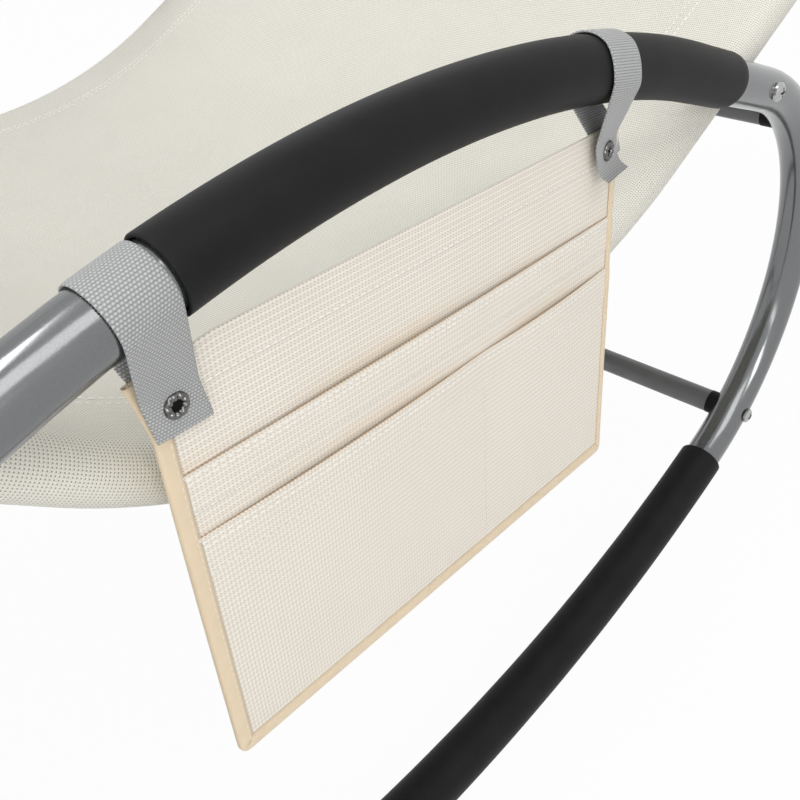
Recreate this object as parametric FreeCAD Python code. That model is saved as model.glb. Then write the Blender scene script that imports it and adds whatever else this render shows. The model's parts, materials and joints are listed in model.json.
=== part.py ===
"""Rocking chaise lounge with a hanging side pocket.

Two closed oval side loops of steel tube stand on their foam-covered rockers.
Four cross bars join them. Two S-shaped side rails are bolted inside the loops
and carry a woven sling in its edge sleeves. A pocket hangs on two webbing
straps from one arm and swings about that arm.

Frame of the part: origin on the floor midway between the rockers, +X towards
the head end, +Y towards the sitter's right, +Z up. All sizes in millimetres.
"""
import FreeCAD
import Part
import math
import os

V = FreeCAD.Vector
SIDES = {"left": -1, "right": 1}

# Side loops
LOOP_TUBE_D = 28.0
LOOP_WALL = 1.2
LOOP_SPACING = 600.0
ARM_RADIUS = 660.0
ARM_HALF_ANGLE = 19.0
ARM_STRAIGHT = 112.0
BEND_RADIUS = 164.0
ROCKER_RADIUS = 850.0

# Foam sleeves on the loops
ROCKER_FOAM_D = 34.0
ARM_FOAM_D = 32.8
FOAM_BORE_CLEARANCE = 0.5
ARM_FOAM_FRONT = 140.0
ARM_FOAM_REAR = 269.0
ROCKER_FOAM_HALF = 335.0
FLOOR_FLAT_DEPTH = 0.5

# Side rails, listed from the foot end to the head end
RAIL_TUBE_D = 25.0
RAIL_WALL = 1.2
END_REACH = 772.0
FOOT_LENGTH = 60.0
FOOT_ANGLE = 14.0
FOOT_RADIUS = 320.0
CALF_ANGLE = 34.0
KNEE_RADIUS = 135.0
KNEE_TO_BOLT = 28.0
THIGH_ANGLE = 37.8
SEAT_RADIUS = 284.0
SEAT_LENGTH = 60.0
SEAT_ANGLE = 1.8
LUMBAR_RADIUS = 411.0
LUMBAR_TO_BOLT = 70.0
BACK_ANGLE = 27.5
BACK_LENGTH = 150.0
HEAD_RADIUS = 800.0
HEAD_ANGLE = 38.0
REAR_BOLT_REACH = 319.0
RAIL_JOINT_LAP = 45.0
RAIL_SLIP = 0.1

# Saddles, bars and their fasteners
BAR_D = 19.0
BAR_WALL = 1.2
BAR_SADDLE_D = 19.6
BAR_SADDLE_WALL = 5.0
BAR_ANGLES = {"upper": 47.7, "lower": -51.0}
RAIL_SADDLE_D = 20.0
RAIL_SADDLE_WALL = 2.0
END_BAR_INSET = 24.0
SCREW_D = 6.0
SCREW_HEAD_D = 12.0
SCREW_HEAD_H = 3.6
SCREW_HOLE_D = 6.6
SCREW_GRIP = 14.0
SCREW_FIT = 0.1
RECESS_SPAN = 6.4
RECESS_WIDTH = 1.4
RECESS_DEPTH = 1.8
INSERT_LENGTH = 20.0
INSERT_SLIP = 0.1
RIVET_NUT_D = 9.0
RIVET_NUT_LENGTH = 13.0
CAP_CROWN = 4.0
CAP_ROUNDING = 3.0
CAP_PLUG_LENGTH = 14.0
SEAT_CLEARANCE = 0.05

# Sling
FABRIC = 0.85
SLEEVE_CLEARANCE = 0.35
SEAM_INSET = 40.0
SLING_SAG = 8.0
SLING_END_INSET = 46.0
SLEEVE_HOLE_CLEARANCE = 1.0

# Hanging pocket
POCKET_FRONT_X = -155.0
POCKET_WIDTH = 300.0
POCKET_HEIGHT = 214.0
POCKET_HEM_DROP = 43.0
MOUTH_UPPER_DROP = 95.0
MOUTH_LOWER_DROP = 126.0
DIVIDER_X = 27.0
MESH = 0.8
PANEL = 1.0
BINDING_WIDTH = 7.0
BINDING = 0.8
UPPER_BULGE = 5.8
LOWER_BULGE = 10.6
FLAT_BULGE = 0.1
SEWN_CLEARANCE = 0.05

# Webbing straps and press studs
WEBBING_WIDTH = 25.0
WEBBING = 1.4
STRAP_X = {"front": -154.4, "rear": 117.5}
STRAP_LEAN = {"front": 11.0, "rear": 13.0}
STRAP_TAIL = {"front": 55.0, "rear": 61.0}
STRAP_CURL = {"front": 0.0, "rear": 85.0}
STRAP_TOP_GAP = 1.0
STRAP_SLACK = 2.0
STRAP_FLAT = 38.0
SEWN_TAIL = 55.0
STUD_DROP = 44.0
STUD_D = 9.6
STUD_RING_H = 1.9
STUD_HOLLOW_D = 5.0
STUD_HOLLOW_DEPTH = 1.2
STUD_SHANK_D = 4.0
STUD_SHANK_HOLE = 0.1
SOCKET_H = 1.6
SOCKET_BORE_D = 3.8
POST_H = 0.9
NIPPLE_D = 3.5
NIPPLE_H = 1.3
POST_RING_H = 1.2

# Derived sizes of the side loop
LOOP_R = LOOP_TUBE_D / 2
ROCKER_FOAM_R = ROCKER_FOAM_D / 2
ARM_FOAM_R = ARM_FOAM_D / 2
RAIL_R = RAIL_TUBE_D / 2
BAR_R = BAR_D / 2
LOOP_Y = LOOP_SPACING / 2
RAIL_Y = LOOP_Y - LOOP_R - RAIL_SADDLE_WALL - RAIL_R
BEND_X = (
    ARM_RADIUS * math.sin(math.radians(ARM_HALF_ANGLE))
    + ARM_STRAIGHT * math.cos(math.radians(ARM_HALF_ANGLE))
    - BEND_RADIUS * math.sin(math.radians(ARM_HALF_ANGLE))
)
ROCKER_HALF_ANGLE = math.degrees(math.asin(BEND_X / (ROCKER_RADIUS - BEND_RADIUS)))
BEND_TURN = 180.0 - ARM_HALF_ANGLE - ROCKER_HALF_ANGLE
LOOP_BOTTOM_Z = ROCKER_FOAM_R - FLOOR_FLAT_DEPTH
BEND_Z = (
    LOOP_BOTTOM_Z
    + ROCKER_RADIUS
    - (ROCKER_RADIUS - BEND_RADIUS) * math.cos(math.radians(ROCKER_HALF_ANGLE))
)
LOOP_TOP_Z = (
    BEND_Z
    + BEND_RADIUS * math.cos(math.radians(ARM_HALF_ANGLE))
    + ARM_STRAIGHT * math.sin(math.radians(ARM_HALF_ANGLE))
    + ARM_RADIUS * (1 - math.cos(math.radians(ARM_HALF_ANGLE)))
)
BAR_HALF = LOOP_Y - LOOP_R - BAR_SADDLE_WALL
END_BAR_HALF = RAIL_Y - RAIL_R - BAR_SADDLE_WALL
SLEEVE_INNER = RAIL_R + SLEEVE_CLEARANCE
SLEEVE_OUTER = SLEEVE_INNER + FABRIC
POCKET_HEM_Z = LOOP_TOP_Z - POCKET_HEM_DROP
POCKET_BOTTOM_Z = POCKET_HEM_Z - POCKET_HEIGHT
MOUTH_UPPER_Z = LOOP_TOP_Z - MOUTH_UPPER_DROP
MOUTH_LOWER_Z = LOOP_TOP_Z - MOUTH_LOWER_DROP


def sind(angle):
    return math.sin(math.radians(angle))


def cosd(angle):
    return math.cos(math.radians(angle))


def one_solid(shape):
    """Return the single solid of a result, or stop if it fell apart."""
    if len(shape.Solids) != 1:
        raise ValueError("expected one solid, got %d" % len(shape.Solids))
    return shape.Solids[0]


def joined(shapes):
    """Fuse touching solids and merge the faces they share."""
    result = shapes[0]
    if len(shapes) > 1:
        result = result.multiFuse(shapes[1:])
    return one_solid(result.removeSplitter())


def arc(start, middle, end):
    return Part.Arc(start, middle, end).toShape()


def line(start, end):
    return Part.LineSegment(start, end).toShape()


def turned(shape, angle):
    """Turn a shape in the XZ plane, from +X towards +Z, about the origin."""
    copy = shape.copy()
    copy.rotate(V(0, 0, 0), V(0, -1, 0), angle)
    return copy


def disc(radius):
    """A round face across the X axis."""
    circle = Part.Circle(V(0, 0, 0), V(1, 0, 0), radius).toShape()
    return Part.Face(Part.Wire(circle))


def ring(outer, inner):
    """The cross-section of a tube that runs along X."""
    return disc(outer).cut(disc(inner)).Faces[0]


def rod(radius, x, z, y_from, y_to):
    """A cylinder along Y between two stations."""
    low = min(y_from, y_to)
    return Part.makeCylinder(radius, abs(y_to - y_from), V(x, low, z), V(0, 1, 0))


def tangent_point(outside, centre, radius, turn):
    """Where a line from a point touches a circle; turn picks one of the two."""
    dy = outside[0] - centre[0]
    dz = outside[1] - centre[1]
    distance = math.hypot(dy, dz)
    angle = math.atan2(dz, dy) + turn * math.acos(radius / distance)
    return (centre[0] + radius * math.cos(angle), centre[1] + radius * math.sin(angle))


class Path:
    """A planar route of straight runs and tangent arcs in an XZ plane."""

    def __init__(self, x, z, heading):
        self.start = (x, z, heading)
        self.pieces = []
        self.length = 0.0

    def run(self, length):
        self.pieces.append(("run", length, 0.0))
        self.length += length
        return self

    def bend(self, radius, turn):
        self.pieces.append(("bend", radius, turn))
        self.length += radius * math.radians(abs(turn))
        return self

    def piece_length(self, piece):
        kind, size, turn = piece
        return size if kind == "run" else size * math.radians(abs(turn))

    def step(self, place, piece):
        """Where a piece ends when it starts at a place."""
        x, z, heading = place
        kind, size, turn = piece
        if kind == "run":
            return (x + size * cosd(heading), z + size * sind(heading), heading)
        side = 1 if turn > 0 else -1
        cx, cz = self.centre(place, piece)
        after = heading + turn
        return (cx + side * size * sind(after), cz - side * size * cosd(after), after)

    def centre(self, place, piece):
        x, z, heading = place
        side = 1 if piece[2] > 0 else -1
        return (x - side * piece[1] * sind(heading), z + side * piece[1] * cosd(heading))

    def cut(self, first, last):
        """The stretch of the route between two distances from its start."""
        place = self.start
        walked = 0.0
        result = None
        for piece in self.pieces:
            size = self.piece_length(piece)
            low = max(first - walked, 0.0)
            high = min(last - walked, size)
            if high - low > 1e-6:
                if result is None:
                    result = Path(*self.step(place, self.shortened(piece, low)))
                kept = self.shortened(piece, high - low)
                if kept[0] == "run":
                    result.run(kept[1])
                else:
                    result.bend(kept[1], kept[2])
            place = self.step(place, piece)
            walked += size
        return result

    def shortened(self, piece, length):
        kind, size, turn = piece
        if kind == "run":
            return (kind, length, turn)
        return (kind, size, math.copysign(math.degrees(length / size), turn))

    def at(self, distance):
        """Place and heading at a distance from the start."""
        if distance <= 0:
            return self.start
        place = self.start
        walked = 0.0
        for piece in self.pieces:
            size = self.piece_length(piece)
            if walked + size >= distance:
                return self.step(place, self.shortened(piece, distance - walked))
            place = self.step(place, piece)
            walked += size
        return place

    def sweep(self, face, y):
        """Carry a cross-section, drawn across X at the origin, along the route."""
        place = self.start
        solids = []
        for piece in self.pieces:
            section = turned(face, place[2])
            section.translate(V(place[0], y, place[1]))
            if piece[0] == "run":
                solids.append(section.extrude(V(piece[1] * cosd(place[2]), 0, piece[1] * sind(place[2]))))
            else:
                cx, cz = self.centre(place, piece)
                axis = V(0, -1 if piece[2] > 0 else 1, 0)
                solids.append(section.revolve(V(cx, y, cz), axis, abs(piece[2])))
            place = self.step(place, piece)
        return joined(solids)


def loop_path():
    """The closed oval, clockwise from the middle of the arm."""
    path = Path(0.0, LOOP_TOP_Z, 0.0)
    path.bend(ARM_RADIUS, -ARM_HALF_ANGLE)
    path.run(ARM_STRAIGHT)
    path.bend(BEND_RADIUS, -BEND_TURN)
    path.bend(ROCKER_RADIUS, -2 * ROCKER_HALF_ANGLE)
    path.bend(BEND_RADIUS, -BEND_TURN)
    path.run(ARM_STRAIGHT)
    path.bend(ARM_RADIUS, -ARM_HALF_ANGLE)
    return path


def on_bend(angle, end):
    """A point of the loop's centre line on its end bend; end is 1 at the rear."""
    return (end * (BEND_X + BEND_RADIUS * cosd(angle)), BEND_Z + BEND_RADIUS * sind(angle))


def rear_bolt():
    """A place on the loop, measured along it from the middle of the arm."""
    return LOOP.at(REAR_BOLT_REACH)[:2]


def seat_start():
    """Where the seat bend begins, found back from the rear bolt."""
    x, z = rear_bolt()
    x -= LUMBAR_TO_BOLT * cosd(BACK_ANGLE)
    z -= LUMBAR_TO_BOLT * sind(BACK_ANGLE)
    x -= LUMBAR_RADIUS * (sind(BACK_ANGLE) + sind(SEAT_ANGLE))
    z -= LUMBAR_RADIUS * (cosd(SEAT_ANGLE) - cosd(BACK_ANGLE))
    x -= SEAT_LENGTH * cosd(SEAT_ANGLE)
    z += SEAT_LENGTH * sind(SEAT_ANGLE)
    x -= SEAT_RADIUS * (sind(THIGH_ANGLE) - sind(SEAT_ANGLE))
    z += SEAT_RADIUS * (cosd(SEAT_ANGLE) - cosd(THIGH_ANGLE))
    return (x, z)


def front_bolt():
    """Where the rail's thigh run crosses the loop's front straight run."""
    sx, sz = seat_start()
    ax = -ARM_RADIUS * sind(ARM_HALF_ANGLE)
    az = LOOP_TOP_Z - ARM_RADIUS * (1 - cosd(ARM_HALF_ANGLE))
    rail_slope = -math.tan(math.radians(THIGH_ANGLE))
    loop_slope = math.tan(math.radians(ARM_HALF_ANGLE))
    x = (az - sz + rail_slope * sx - loop_slope * ax) / (rail_slope - loop_slope)
    return (x, sz + rail_slope * (x - sx))


def rail_path():
    """The side rail from the foot end, over the knees and the seat, to the head end."""
    bx, bz = front_bolt()
    sx, sz = seat_start()
    thigh = KNEE_TO_BOLT + math.hypot(bx - sx, bz - sz)
    x = bx - KNEE_TO_BOLT * cosd(THIGH_ANGLE)
    z = bz + KNEE_TO_BOLT * sind(THIGH_ANGLE)
    x -= KNEE_RADIUS * (sind(THIGH_ANGLE) + sind(CALF_ANGLE))
    z -= KNEE_RADIUS * (cosd(THIGH_ANGLE) - cosd(CALF_ANGLE))
    foot_x = RAIL_R * sind(FOOT_ANGLE) - END_REACH
    foot_dx = FOOT_LENGTH * cosd(FOOT_ANGLE)
    foot_dx += FOOT_RADIUS * (sind(CALF_ANGLE) - sind(FOOT_ANGLE))
    calf = (x - foot_x - foot_dx) / cosd(CALF_ANGLE)
    z -= calf * sind(CALF_ANGLE)
    z -= FOOT_RADIUS * (cosd(FOOT_ANGLE) - cosd(CALF_ANGLE))
    z -= FOOT_LENGTH * sind(FOOT_ANGLE)
    path = Path(foot_x, z, FOOT_ANGLE)
    path.run(FOOT_LENGTH)
    path.bend(FOOT_RADIUS, CALF_ANGLE - FOOT_ANGLE)
    path.run(calf)
    path.bend(KNEE_RADIUS, -CALF_ANGLE - THIGH_ANGLE)
    path.run(thigh)
    path.bend(SEAT_RADIUS, THIGH_ANGLE - SEAT_ANGLE)
    path.run(SEAT_LENGTH)
    path.bend(LUMBAR_RADIUS, SEAT_ANGLE + BACK_ANGLE)
    path.run(LUMBAR_TO_BOLT + BACK_LENGTH)
    path.bend(HEAD_RADIUS, HEAD_ANGLE - BACK_ANGLE)
    head_x = END_REACH - RAIL_R * sind(HEAD_ANGLE)
    path.run((head_x - path.at(path.length)[0]) / cosd(HEAD_ANGLE))
    return path


LOOP = loop_path()
RAIL = rail_path()
RAIL_JOINT_AT = sum(RAIL.piece_length(piece) for piece in RAIL.pieces[:6]) + SEAT_LENGTH / 2


def bar_places():
    """Names and axes of the four bars between the loops."""
    places = {}
    for height, angle in BAR_ANGLES.items():
        places["rear_%s_bar" % height] = on_bend(angle, 1)
        places["front_%s_bar" % height] = on_bend(angle, -1)
    return places


def end_bar_places():
    return {
        "foot_bar": RAIL.at(END_BAR_INSET)[:2],
        "head_bar": RAIL.at(RAIL.length - END_BAR_INSET)[:2],
    }


def rail_bolt_places():
    return [front_bolt(), rear_bolt()]


def make_loop(side):
    """A side loop, drilled through for its bars and rail bolts."""
    y = side * LOOP_Y
    loop = LOOP.sweep(ring(LOOP_R, LOOP_R - LOOP_WALL), y)
    places = list(bar_places().values()) + rail_bolt_places()
    holes = [rod(SCREW_HOLE_D / 2, x, z, y - LOOP_TUBE_D, y + LOOP_TUBE_D) for x, z in places]
    return one_solid(loop.cut(holes))


def make_foam(stretch, side, radius):
    outline = ring(radius, LOOP_R + FOAM_BORE_CLEARANCE)
    return stretch.sweep(outline, side * LOOP_Y)


def make_arm_foam(side):
    front = LOOP.cut(LOOP.length - ARM_FOAM_FRONT, LOOP.length)
    rear = LOOP.cut(0.0, ARM_FOAM_REAR)
    return joined([make_foam(part, side, ARM_FOAM_R) for part in (front, rear)])


def make_rocker_foam(side):
    """The floor sleeve, pressed flat where it stands on the ground."""
    middle = LOOP.length / 2
    stretch = LOOP.cut(middle - ROCKER_FOAM_HALF, middle + ROCKER_FOAM_HALF)
    foam = make_foam(stretch, side, ROCKER_FOAM_R)
    ground = Part.makeBox(2 * ROCKER_RADIUS, LOOP_SPACING * 2, ROCKER_FOAM_D)
    ground.translate(V(-ROCKER_RADIUS, -LOOP_SPACING, -ROCKER_FOAM_D))
    return one_solid(foam.cut(ground))


def make_leg_rail(side):
    """The foot half of a rail, with a reduced spigot that enters the back half."""
    y = side * RAIL_Y
    tube = RAIL.cut(0.0, RAIL_JOINT_AT).sweep(ring(RAIL_R, RAIL_R - RAIL_WALL), y)
    spigot_r = RAIL_R - RAIL_WALL - RAIL_SLIP
    lap = RAIL.cut(RAIL_JOINT_AT - RAIL_JOINT_LAP / 2, RAIL_JOINT_AT + RAIL_JOINT_LAP)
    spigot = lap.sweep(ring(spigot_r, spigot_r - RAIL_WALL), y)
    neck = RAIL.cut(RAIL_JOINT_AT - RAIL_JOINT_LAP / 4, RAIL_JOINT_AT)
    collar = neck.sweep(ring(RAIL_R - RAIL_WALL / 2, spigot_r - RAIL_WALL / 2), y)
    return drilled_rail(joined([tube, spigot, collar]), side, RAIL.at(END_BAR_INSET), front_bolt())


def make_back_rail(side):
    y = side * RAIL_Y
    tube = RAIL.cut(RAIL_JOINT_AT, RAIL.length).sweep(ring(RAIL_R, RAIL_R - RAIL_WALL), y)
    return drilled_rail(tube, side, RAIL.at(RAIL.length - END_BAR_INSET), rear_bolt())


def drilled_rail(tube, side, end_place, bolt_place):
    """Drill through at the end bar, and into the outer wall at the loop bolt."""
    y = side * RAIL_Y
    through = rod(SCREW_HOLE_D / 2, end_place[0], end_place[1], y - RAIL_TUBE_D, y + RAIL_TUBE_D)
    blind = rod(RIVET_NUT_D / 2 + SEAT_CLEARANCE, bolt_place[0], bolt_place[1], y, y + side * RAIL_TUBE_D)
    return one_solid(tube.cut([through, blind]))


def make_bar(place, half):
    x, z = place
    tube = rod(BAR_R, x, z, -half, half)
    return one_solid(tube.cut(rod(BAR_R - BAR_WALL, x, z, -half - 1, half + 1)))


def make_insert(place, half, side):
    """The threaded plug in one end of a bar."""
    x, z = place
    radius = BAR_R - BAR_WALL - INSERT_SLIP
    plug = rod(radius, x, z, side * half, side * (half - INSERT_LENGTH))
    bore = rod(SCREW_D / 2 + SCREW_FIT / 2, x, z, side * (half + 1), side * (half - INSERT_LENGTH - 1))
    return one_solid(plug.cut(bore))


def make_bar_saddle(place, half, side, core, tube_y, tube_r):
    """A plastic spacer at a bar's end, hollowed to sit on the round tube beside it."""
    x, z = place
    wing = tube_y - math.sqrt(tube_r ** 2 - (BAR_SADDLE_D / 2) ** 2)
    spacer = rod(BAR_SADDLE_D / 2, x, z, side * wing, side * half)
    hole = rod(SCREW_HOLE_D / 2, x, z, side * (wing + 1), side * (half - 1))
    return one_solid(spacer.cut([core, hole]))


def make_rail_saddle(place, side, loop_core, rail_core):
    """The double-hollowed washer where a rail crosses a loop."""
    x, z = place
    outer = side * (LOOP_Y - LOOP_R / 2)
    inner = side * (RAIL_Y + RAIL_R / 2)
    washer = rod(RAIL_SADDLE_D / 2, x, z, outer, inner)
    hole = rod(RIVET_NUT_D / 2 + SEAT_CLEARANCE, x, z, outer + side, inner - side)
    return one_solid(washer.cut([loop_core, rail_core, hole]))


def make_screw(place, side, seat_y, tip_y):
    """A pan-head screw along Y, with its head outside."""
    x, z = place
    shank = rod(SCREW_D / 2, x, z, side * seat_y, side * tip_y)
    radius = SCREW_HEAD_D / 2
    rim = SCREW_HEAD_H * 0.45
    profile = Part.Wire([
        line(V(0, 0, 0), V(radius, 0, 0)),
        line(V(radius, 0, 0), V(radius, rim, 0)),
        arc(V(radius, rim, 0), V(radius * 0.72, SCREW_HEAD_H * 0.86, 0), V(0, SCREW_HEAD_H, 0)),
        line(V(0, SCREW_HEAD_H, 0), V(0, 0, 0)),
    ])
    head = Part.Face(profile).revolve(V(0, 0, 0), V(0, 1, 0), 360)
    slot = Part.makeBox(RECESS_SPAN, SCREW_HEAD_H, RECESS_WIDTH)
    slot.translate(V(-RECESS_SPAN / 2, SCREW_HEAD_H - RECESS_DEPTH, -RECESS_WIDTH / 2))
    crossed = slot.copy()
    crossed.rotate(V(0, 0, 0), V(0, 1, 0), 90)
    head = head.cut([slot, crossed])
    if side < 0:
        head.rotate(V(0, 0, 0), V(1, 0, 0), 180)
    head.translate(V(x, side * seat_y, z))
    return joined([shank, head])


def make_rivet_nut(place, side):
    """The threaded sleeve that a rail's loop bolt screws into."""
    x, z = place
    outer = RAIL_Y + RAIL_R
    body = rod(RIVET_NUT_D / 2, x, z, side * outer, side * (outer - RIVET_NUT_LENGTH))
    bore = rod(SCREW_D / 2 + SCREW_FIT / 2, x, z, side * (outer + 1), side * (outer - RIVET_NUT_LENGTH - 1))
    return one_solid(body.cut(bore))


def make_rail_cap(place, outward, side):
    """A rounded plug in the open end of a rail; outward is 1 at the head end."""
    x, z, heading = place
    crown = Part.makeCylinder(RAIL_R, CAP_CROWN, V(0, 0, 0), V(1, 0, 0))
    rim = [edge for edge in crown.Edges if edge.BoundBox.XMin > CAP_CROWN / 2]
    crown = crown.makeFillet(CAP_ROUNDING, rim)
    plug_r = RAIL_R - RAIL_WALL - INSERT_SLIP
    plug = Part.makeCylinder(plug_r, CAP_PLUG_LENGTH, V(-CAP_PLUG_LENGTH, 0, 0), V(1, 0, 0))
    cap = joined([crown, plug])
    cap = turned(cap, heading if outward > 0 else heading + 180)
    cap.translate(V(x, side * RAIL_Y, z))
    return one_solid(cap)


def sling_section():
    """Half of the sling's cross-section: the sheet and the sleeve round one rail."""
    seam_y = RAIL_Y - SEAM_INSET
    top = SLEEVE_OUTER
    under = top - FABRIC
    rail = (RAIL_Y, 0.0)
    skirt = (seam_y, under - FABRIC)
    apex = (seam_y + SEAM_INSET * 0.12, under)
    outer_touch = tangent_point(skirt, rail, SLEEVE_OUTER, 1)
    inner_touch = tangent_point(apex, rail, SLEEVE_INNER, 1)
    outer = Part.Wire([
        arc(V(0, -seam_y, top), V(0, 0, top - SLING_SAG), V(0, seam_y, top)),
        line(V(0, seam_y, top), V(0, RAIL_Y, top)),
        arc(V(0, RAIL_Y, top), V(0, RAIL_Y + SLEEVE_OUTER, 0), V(0, *outer_touch)),
        line(V(0, *outer_touch), V(0, *skirt)),
        line(V(0, *skirt), V(0, seam_y, under)),
        arc(V(0, seam_y, under), V(0, 0, under - SLING_SAG), V(0, -seam_y, under)),
        line(V(0, -seam_y, under), V(0, -skirt[0], skirt[1])),
        line(V(0, -skirt[0], skirt[1]), V(0, -outer_touch[0], outer_touch[1])),
        arc(V(0, -outer_touch[0], outer_touch[1]), V(0, -RAIL_Y - SLEEVE_OUTER, 0), V(0, -RAIL_Y, top)),
        line(V(0, -RAIL_Y, top), V(0, -seam_y, top)),
    ])
    section = Part.Face(outer)
    for side in SIDES.values():
        hollow = Part.Wire([
            line(V(0, side * apex[0], under), V(0, side * RAIL_Y, under)),
            arc(V(0, side * RAIL_Y, under), V(0, side * (RAIL_Y + SLEEVE_INNER), 0),
                V(0, side * inner_touch[0], inner_touch[1])),
            line(V(0, side * inner_touch[0], inner_touch[1]), V(0, side * apex[0], under)),
        ])
        section = section.cut(Part.Face(hollow))
    return section.Faces[0]


def make_sling():
    """The woven seat, swept along the rails, with a hole at each loop bolt."""
    route = RAIL.cut(SLING_END_INSET, RAIL.length - SLING_END_INSET)
    sling = route.sweep(sling_section(), 0.0)
    radius = RAIL_SADDLE_D / 2 + SLEEVE_HOLE_CLEARANCE
    holes = []
    for side in SIDES.values():
        for x, z in rail_bolt_places():
            holes.append(rod(radius, x, z, side * RAIL_Y, side * (RAIL_Y + RAIL_TUBE_D)))
    return one_solid(sling.cut(holes))


POCKET_Y = -LOOP_Y
PANEL_FRONT = POCKET_Y - PANEL / 2
PANEL_BACK = POCKET_Y + PANEL / 2
POCKET_REAR_X = POCKET_FRONT_X + POCKET_WIDTH
POUCH_FRONT_X = POCKET_FRONT_X + BINDING_WIDTH
POUCH_REAR_X = POCKET_REAR_X - BINDING_WIDTH
POUCH_BOTTOM_Z = POCKET_BOTTOM_Z + BINDING_WIDTH
LOWER_POUCH_BACK = PANEL_FRONT - MESH - SEWN_CLEARANCE


def stud_places():
    """Centre of each press stud, on the middle line of its strap."""
    places = []
    for name, x in STRAP_X.items():
        lean = STRAP_LEAN[name]
        places.append((x + STUD_DROP * sind(lean), arm_z(x) - STUD_DROP * cosd(lean)))
    return places


def arm_z(x):
    """Height of the arm's centre line over a place along the lounge."""
    return LOOP_TOP_Z - ARM_RADIUS + math.sqrt(ARM_RADIUS ** 2 - x ** 2)


def make_pocket_panel():
    """The back panel, punched for the studs' shanks."""
    height = POCKET_HEM_Z - POCKET_BOTTOM_Z
    panel = Part.makeBox(POCKET_WIDTH, PANEL, height, V(POCKET_FRONT_X, PANEL_FRONT, POCKET_BOTTOM_Z))
    radius = STUD_SHANK_D / 2 + STUD_SHANK_HOLE
    holes = [rod(radius, x, z, POCKET_Y - 5, POCKET_Y + 5) for x, z in stud_places()]
    return one_solid(panel.cut(holes))


def bowed_edge(z, y, stations, thickness):
    """A closed strip outline at one height: flat margins and bowed stretches."""
    edges = []
    first = V(POCKET_FRONT_X, y, z)
    last = V(POCKET_REAR_X, y, z)
    points = [first] + [V(x, y - bow, z) for x, bow in stations] + [last]
    inner = []
    for index in range(len(points) - 1):
        start, end = points[index], points[index + 1]
        if index in (0, len(points) - 2):
            inner.append((start, None, end))
        elif index % 2 == 1:
            inner.append((start, points[index + 1], points[index + 2]))
    for start, middle, end in inner:
        edges.append(line(start, end) if middle is None else arc(start, middle, end))
    shift = V(0, -thickness, 0)
    edges.append(line(last, last + shift))
    for start, middle, end in reversed(inner):
        if middle is None:
            edges.append(line(end + shift, start + shift))
        else:
            edges.append(arc(end + shift, middle + shift, start + shift))
    edges.append(line(first + shift, first))
    return Part.Wire(edges)


def make_pouch(y, mouth_z, places, bulge):
    """A mesh pocket front that bows out at its mouth, with its foot flat in the binding."""
    low = [(x, share * FLAT_BULGE) for x, share in places]
    high = [(x, share * bulge) for x, share in places]
    wires = [
        bowed_edge(POUCH_BOTTOM_Z, y, low, MESH),
        bowed_edge(mouth_z, y, high, MESH),
    ]
    front = Part.makeLoft(wires, True, True)
    foot = Part.makeBox(
        POCKET_WIDTH, MESH, BINDING_WIDTH, V(POCKET_FRONT_X, y - MESH, POCKET_BOTTOM_Z))
    return joined([front, foot])


def make_upper_pouch():
    middle = (POUCH_FRONT_X + POUCH_REAR_X) / 2
    places = [(POUCH_FRONT_X, 0.0), (middle, 1.0), (POUCH_REAR_X, 0.0)]
    return make_pouch(PANEL_FRONT, MOUTH_UPPER_Z, places, UPPER_BULGE)


def upper_bow(x, z):
    """How far the inner front stands out from the panel."""
    half = (POUCH_REAR_X - POUCH_FRONT_X) / 2
    radius = (half ** 2 + UPPER_BULGE ** 2) / (2 * UPPER_BULGE)
    offset = x - (POUCH_FRONT_X + POUCH_REAR_X) / 2
    bow = UPPER_BULGE - radius + math.sqrt(radius ** 2 - offset ** 2)
    return bow * (z - POUCH_BOTTOM_Z) / (MOUTH_UPPER_Z - POUCH_BOTTOM_Z)


def make_lower_pouch():
    """The outer front, sewn to the one behind it along the divider."""
    share = (upper_bow(DIVIDER_X, MOUTH_LOWER_Z) + SEWN_CLEARANCE) / LOWER_BULGE
    places = [
        (POUCH_FRONT_X, 0.0),
        ((POUCH_FRONT_X + DIVIDER_X) / 2, 1.0),
        (DIVIDER_X, share),
        ((POUCH_REAR_X + DIVIDER_X) / 2, 1.0),
        (POUCH_REAR_X, 0.0),
    ]
    return make_pouch(LOWER_POUCH_BACK, MOUTH_LOWER_Z, places, LOWER_BULGE)


def make_binding():
    """The folded tape round three edges of the pocket, notched round a stud."""
    front = LOWER_POUCH_BACK - MESH
    deep = PANEL_BACK + BINDING - (front - BINDING)
    width = POCKET_WIDTH + 2 * BINDING
    height = POCKET_HEM_Z - POCKET_BOTTOM_Z + BINDING
    corner = V(POCKET_FRONT_X - BINDING, front - BINDING, POCKET_BOTTOM_Z - BINDING)
    block = Part.makeBox(width, deep, height, corner)
    window = Part.makeBox(
        POCKET_WIDTH - 2 * BINDING_WIDTH, 4 * deep, 2 * height,
        V(POCKET_FRONT_X + BINDING_WIDTH, front - 2 * deep, POCKET_BOTTOM_Z + BINDING_WIDTH),
    )
    groove = Part.makeBox(
        POCKET_WIDTH, PANEL_BACK - front, 2 * height, V(POCKET_FRONT_X, front, POCKET_BOTTOM_Z)
    )
    tools = [window, groove]
    for x, z in stud_places():
        tools.append(rod(STUD_D / 2, x, z, front - 2 * BINDING, PANEL_BACK + 2 * BINDING))
    return one_solid(block.cut(tools))


TAIL_FRONT = PANEL_FRONT - POCKET_Y - POST_H - SOCKET_H
TAIL_BACK = PANEL_BACK - POCKET_Y + BINDING


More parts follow.
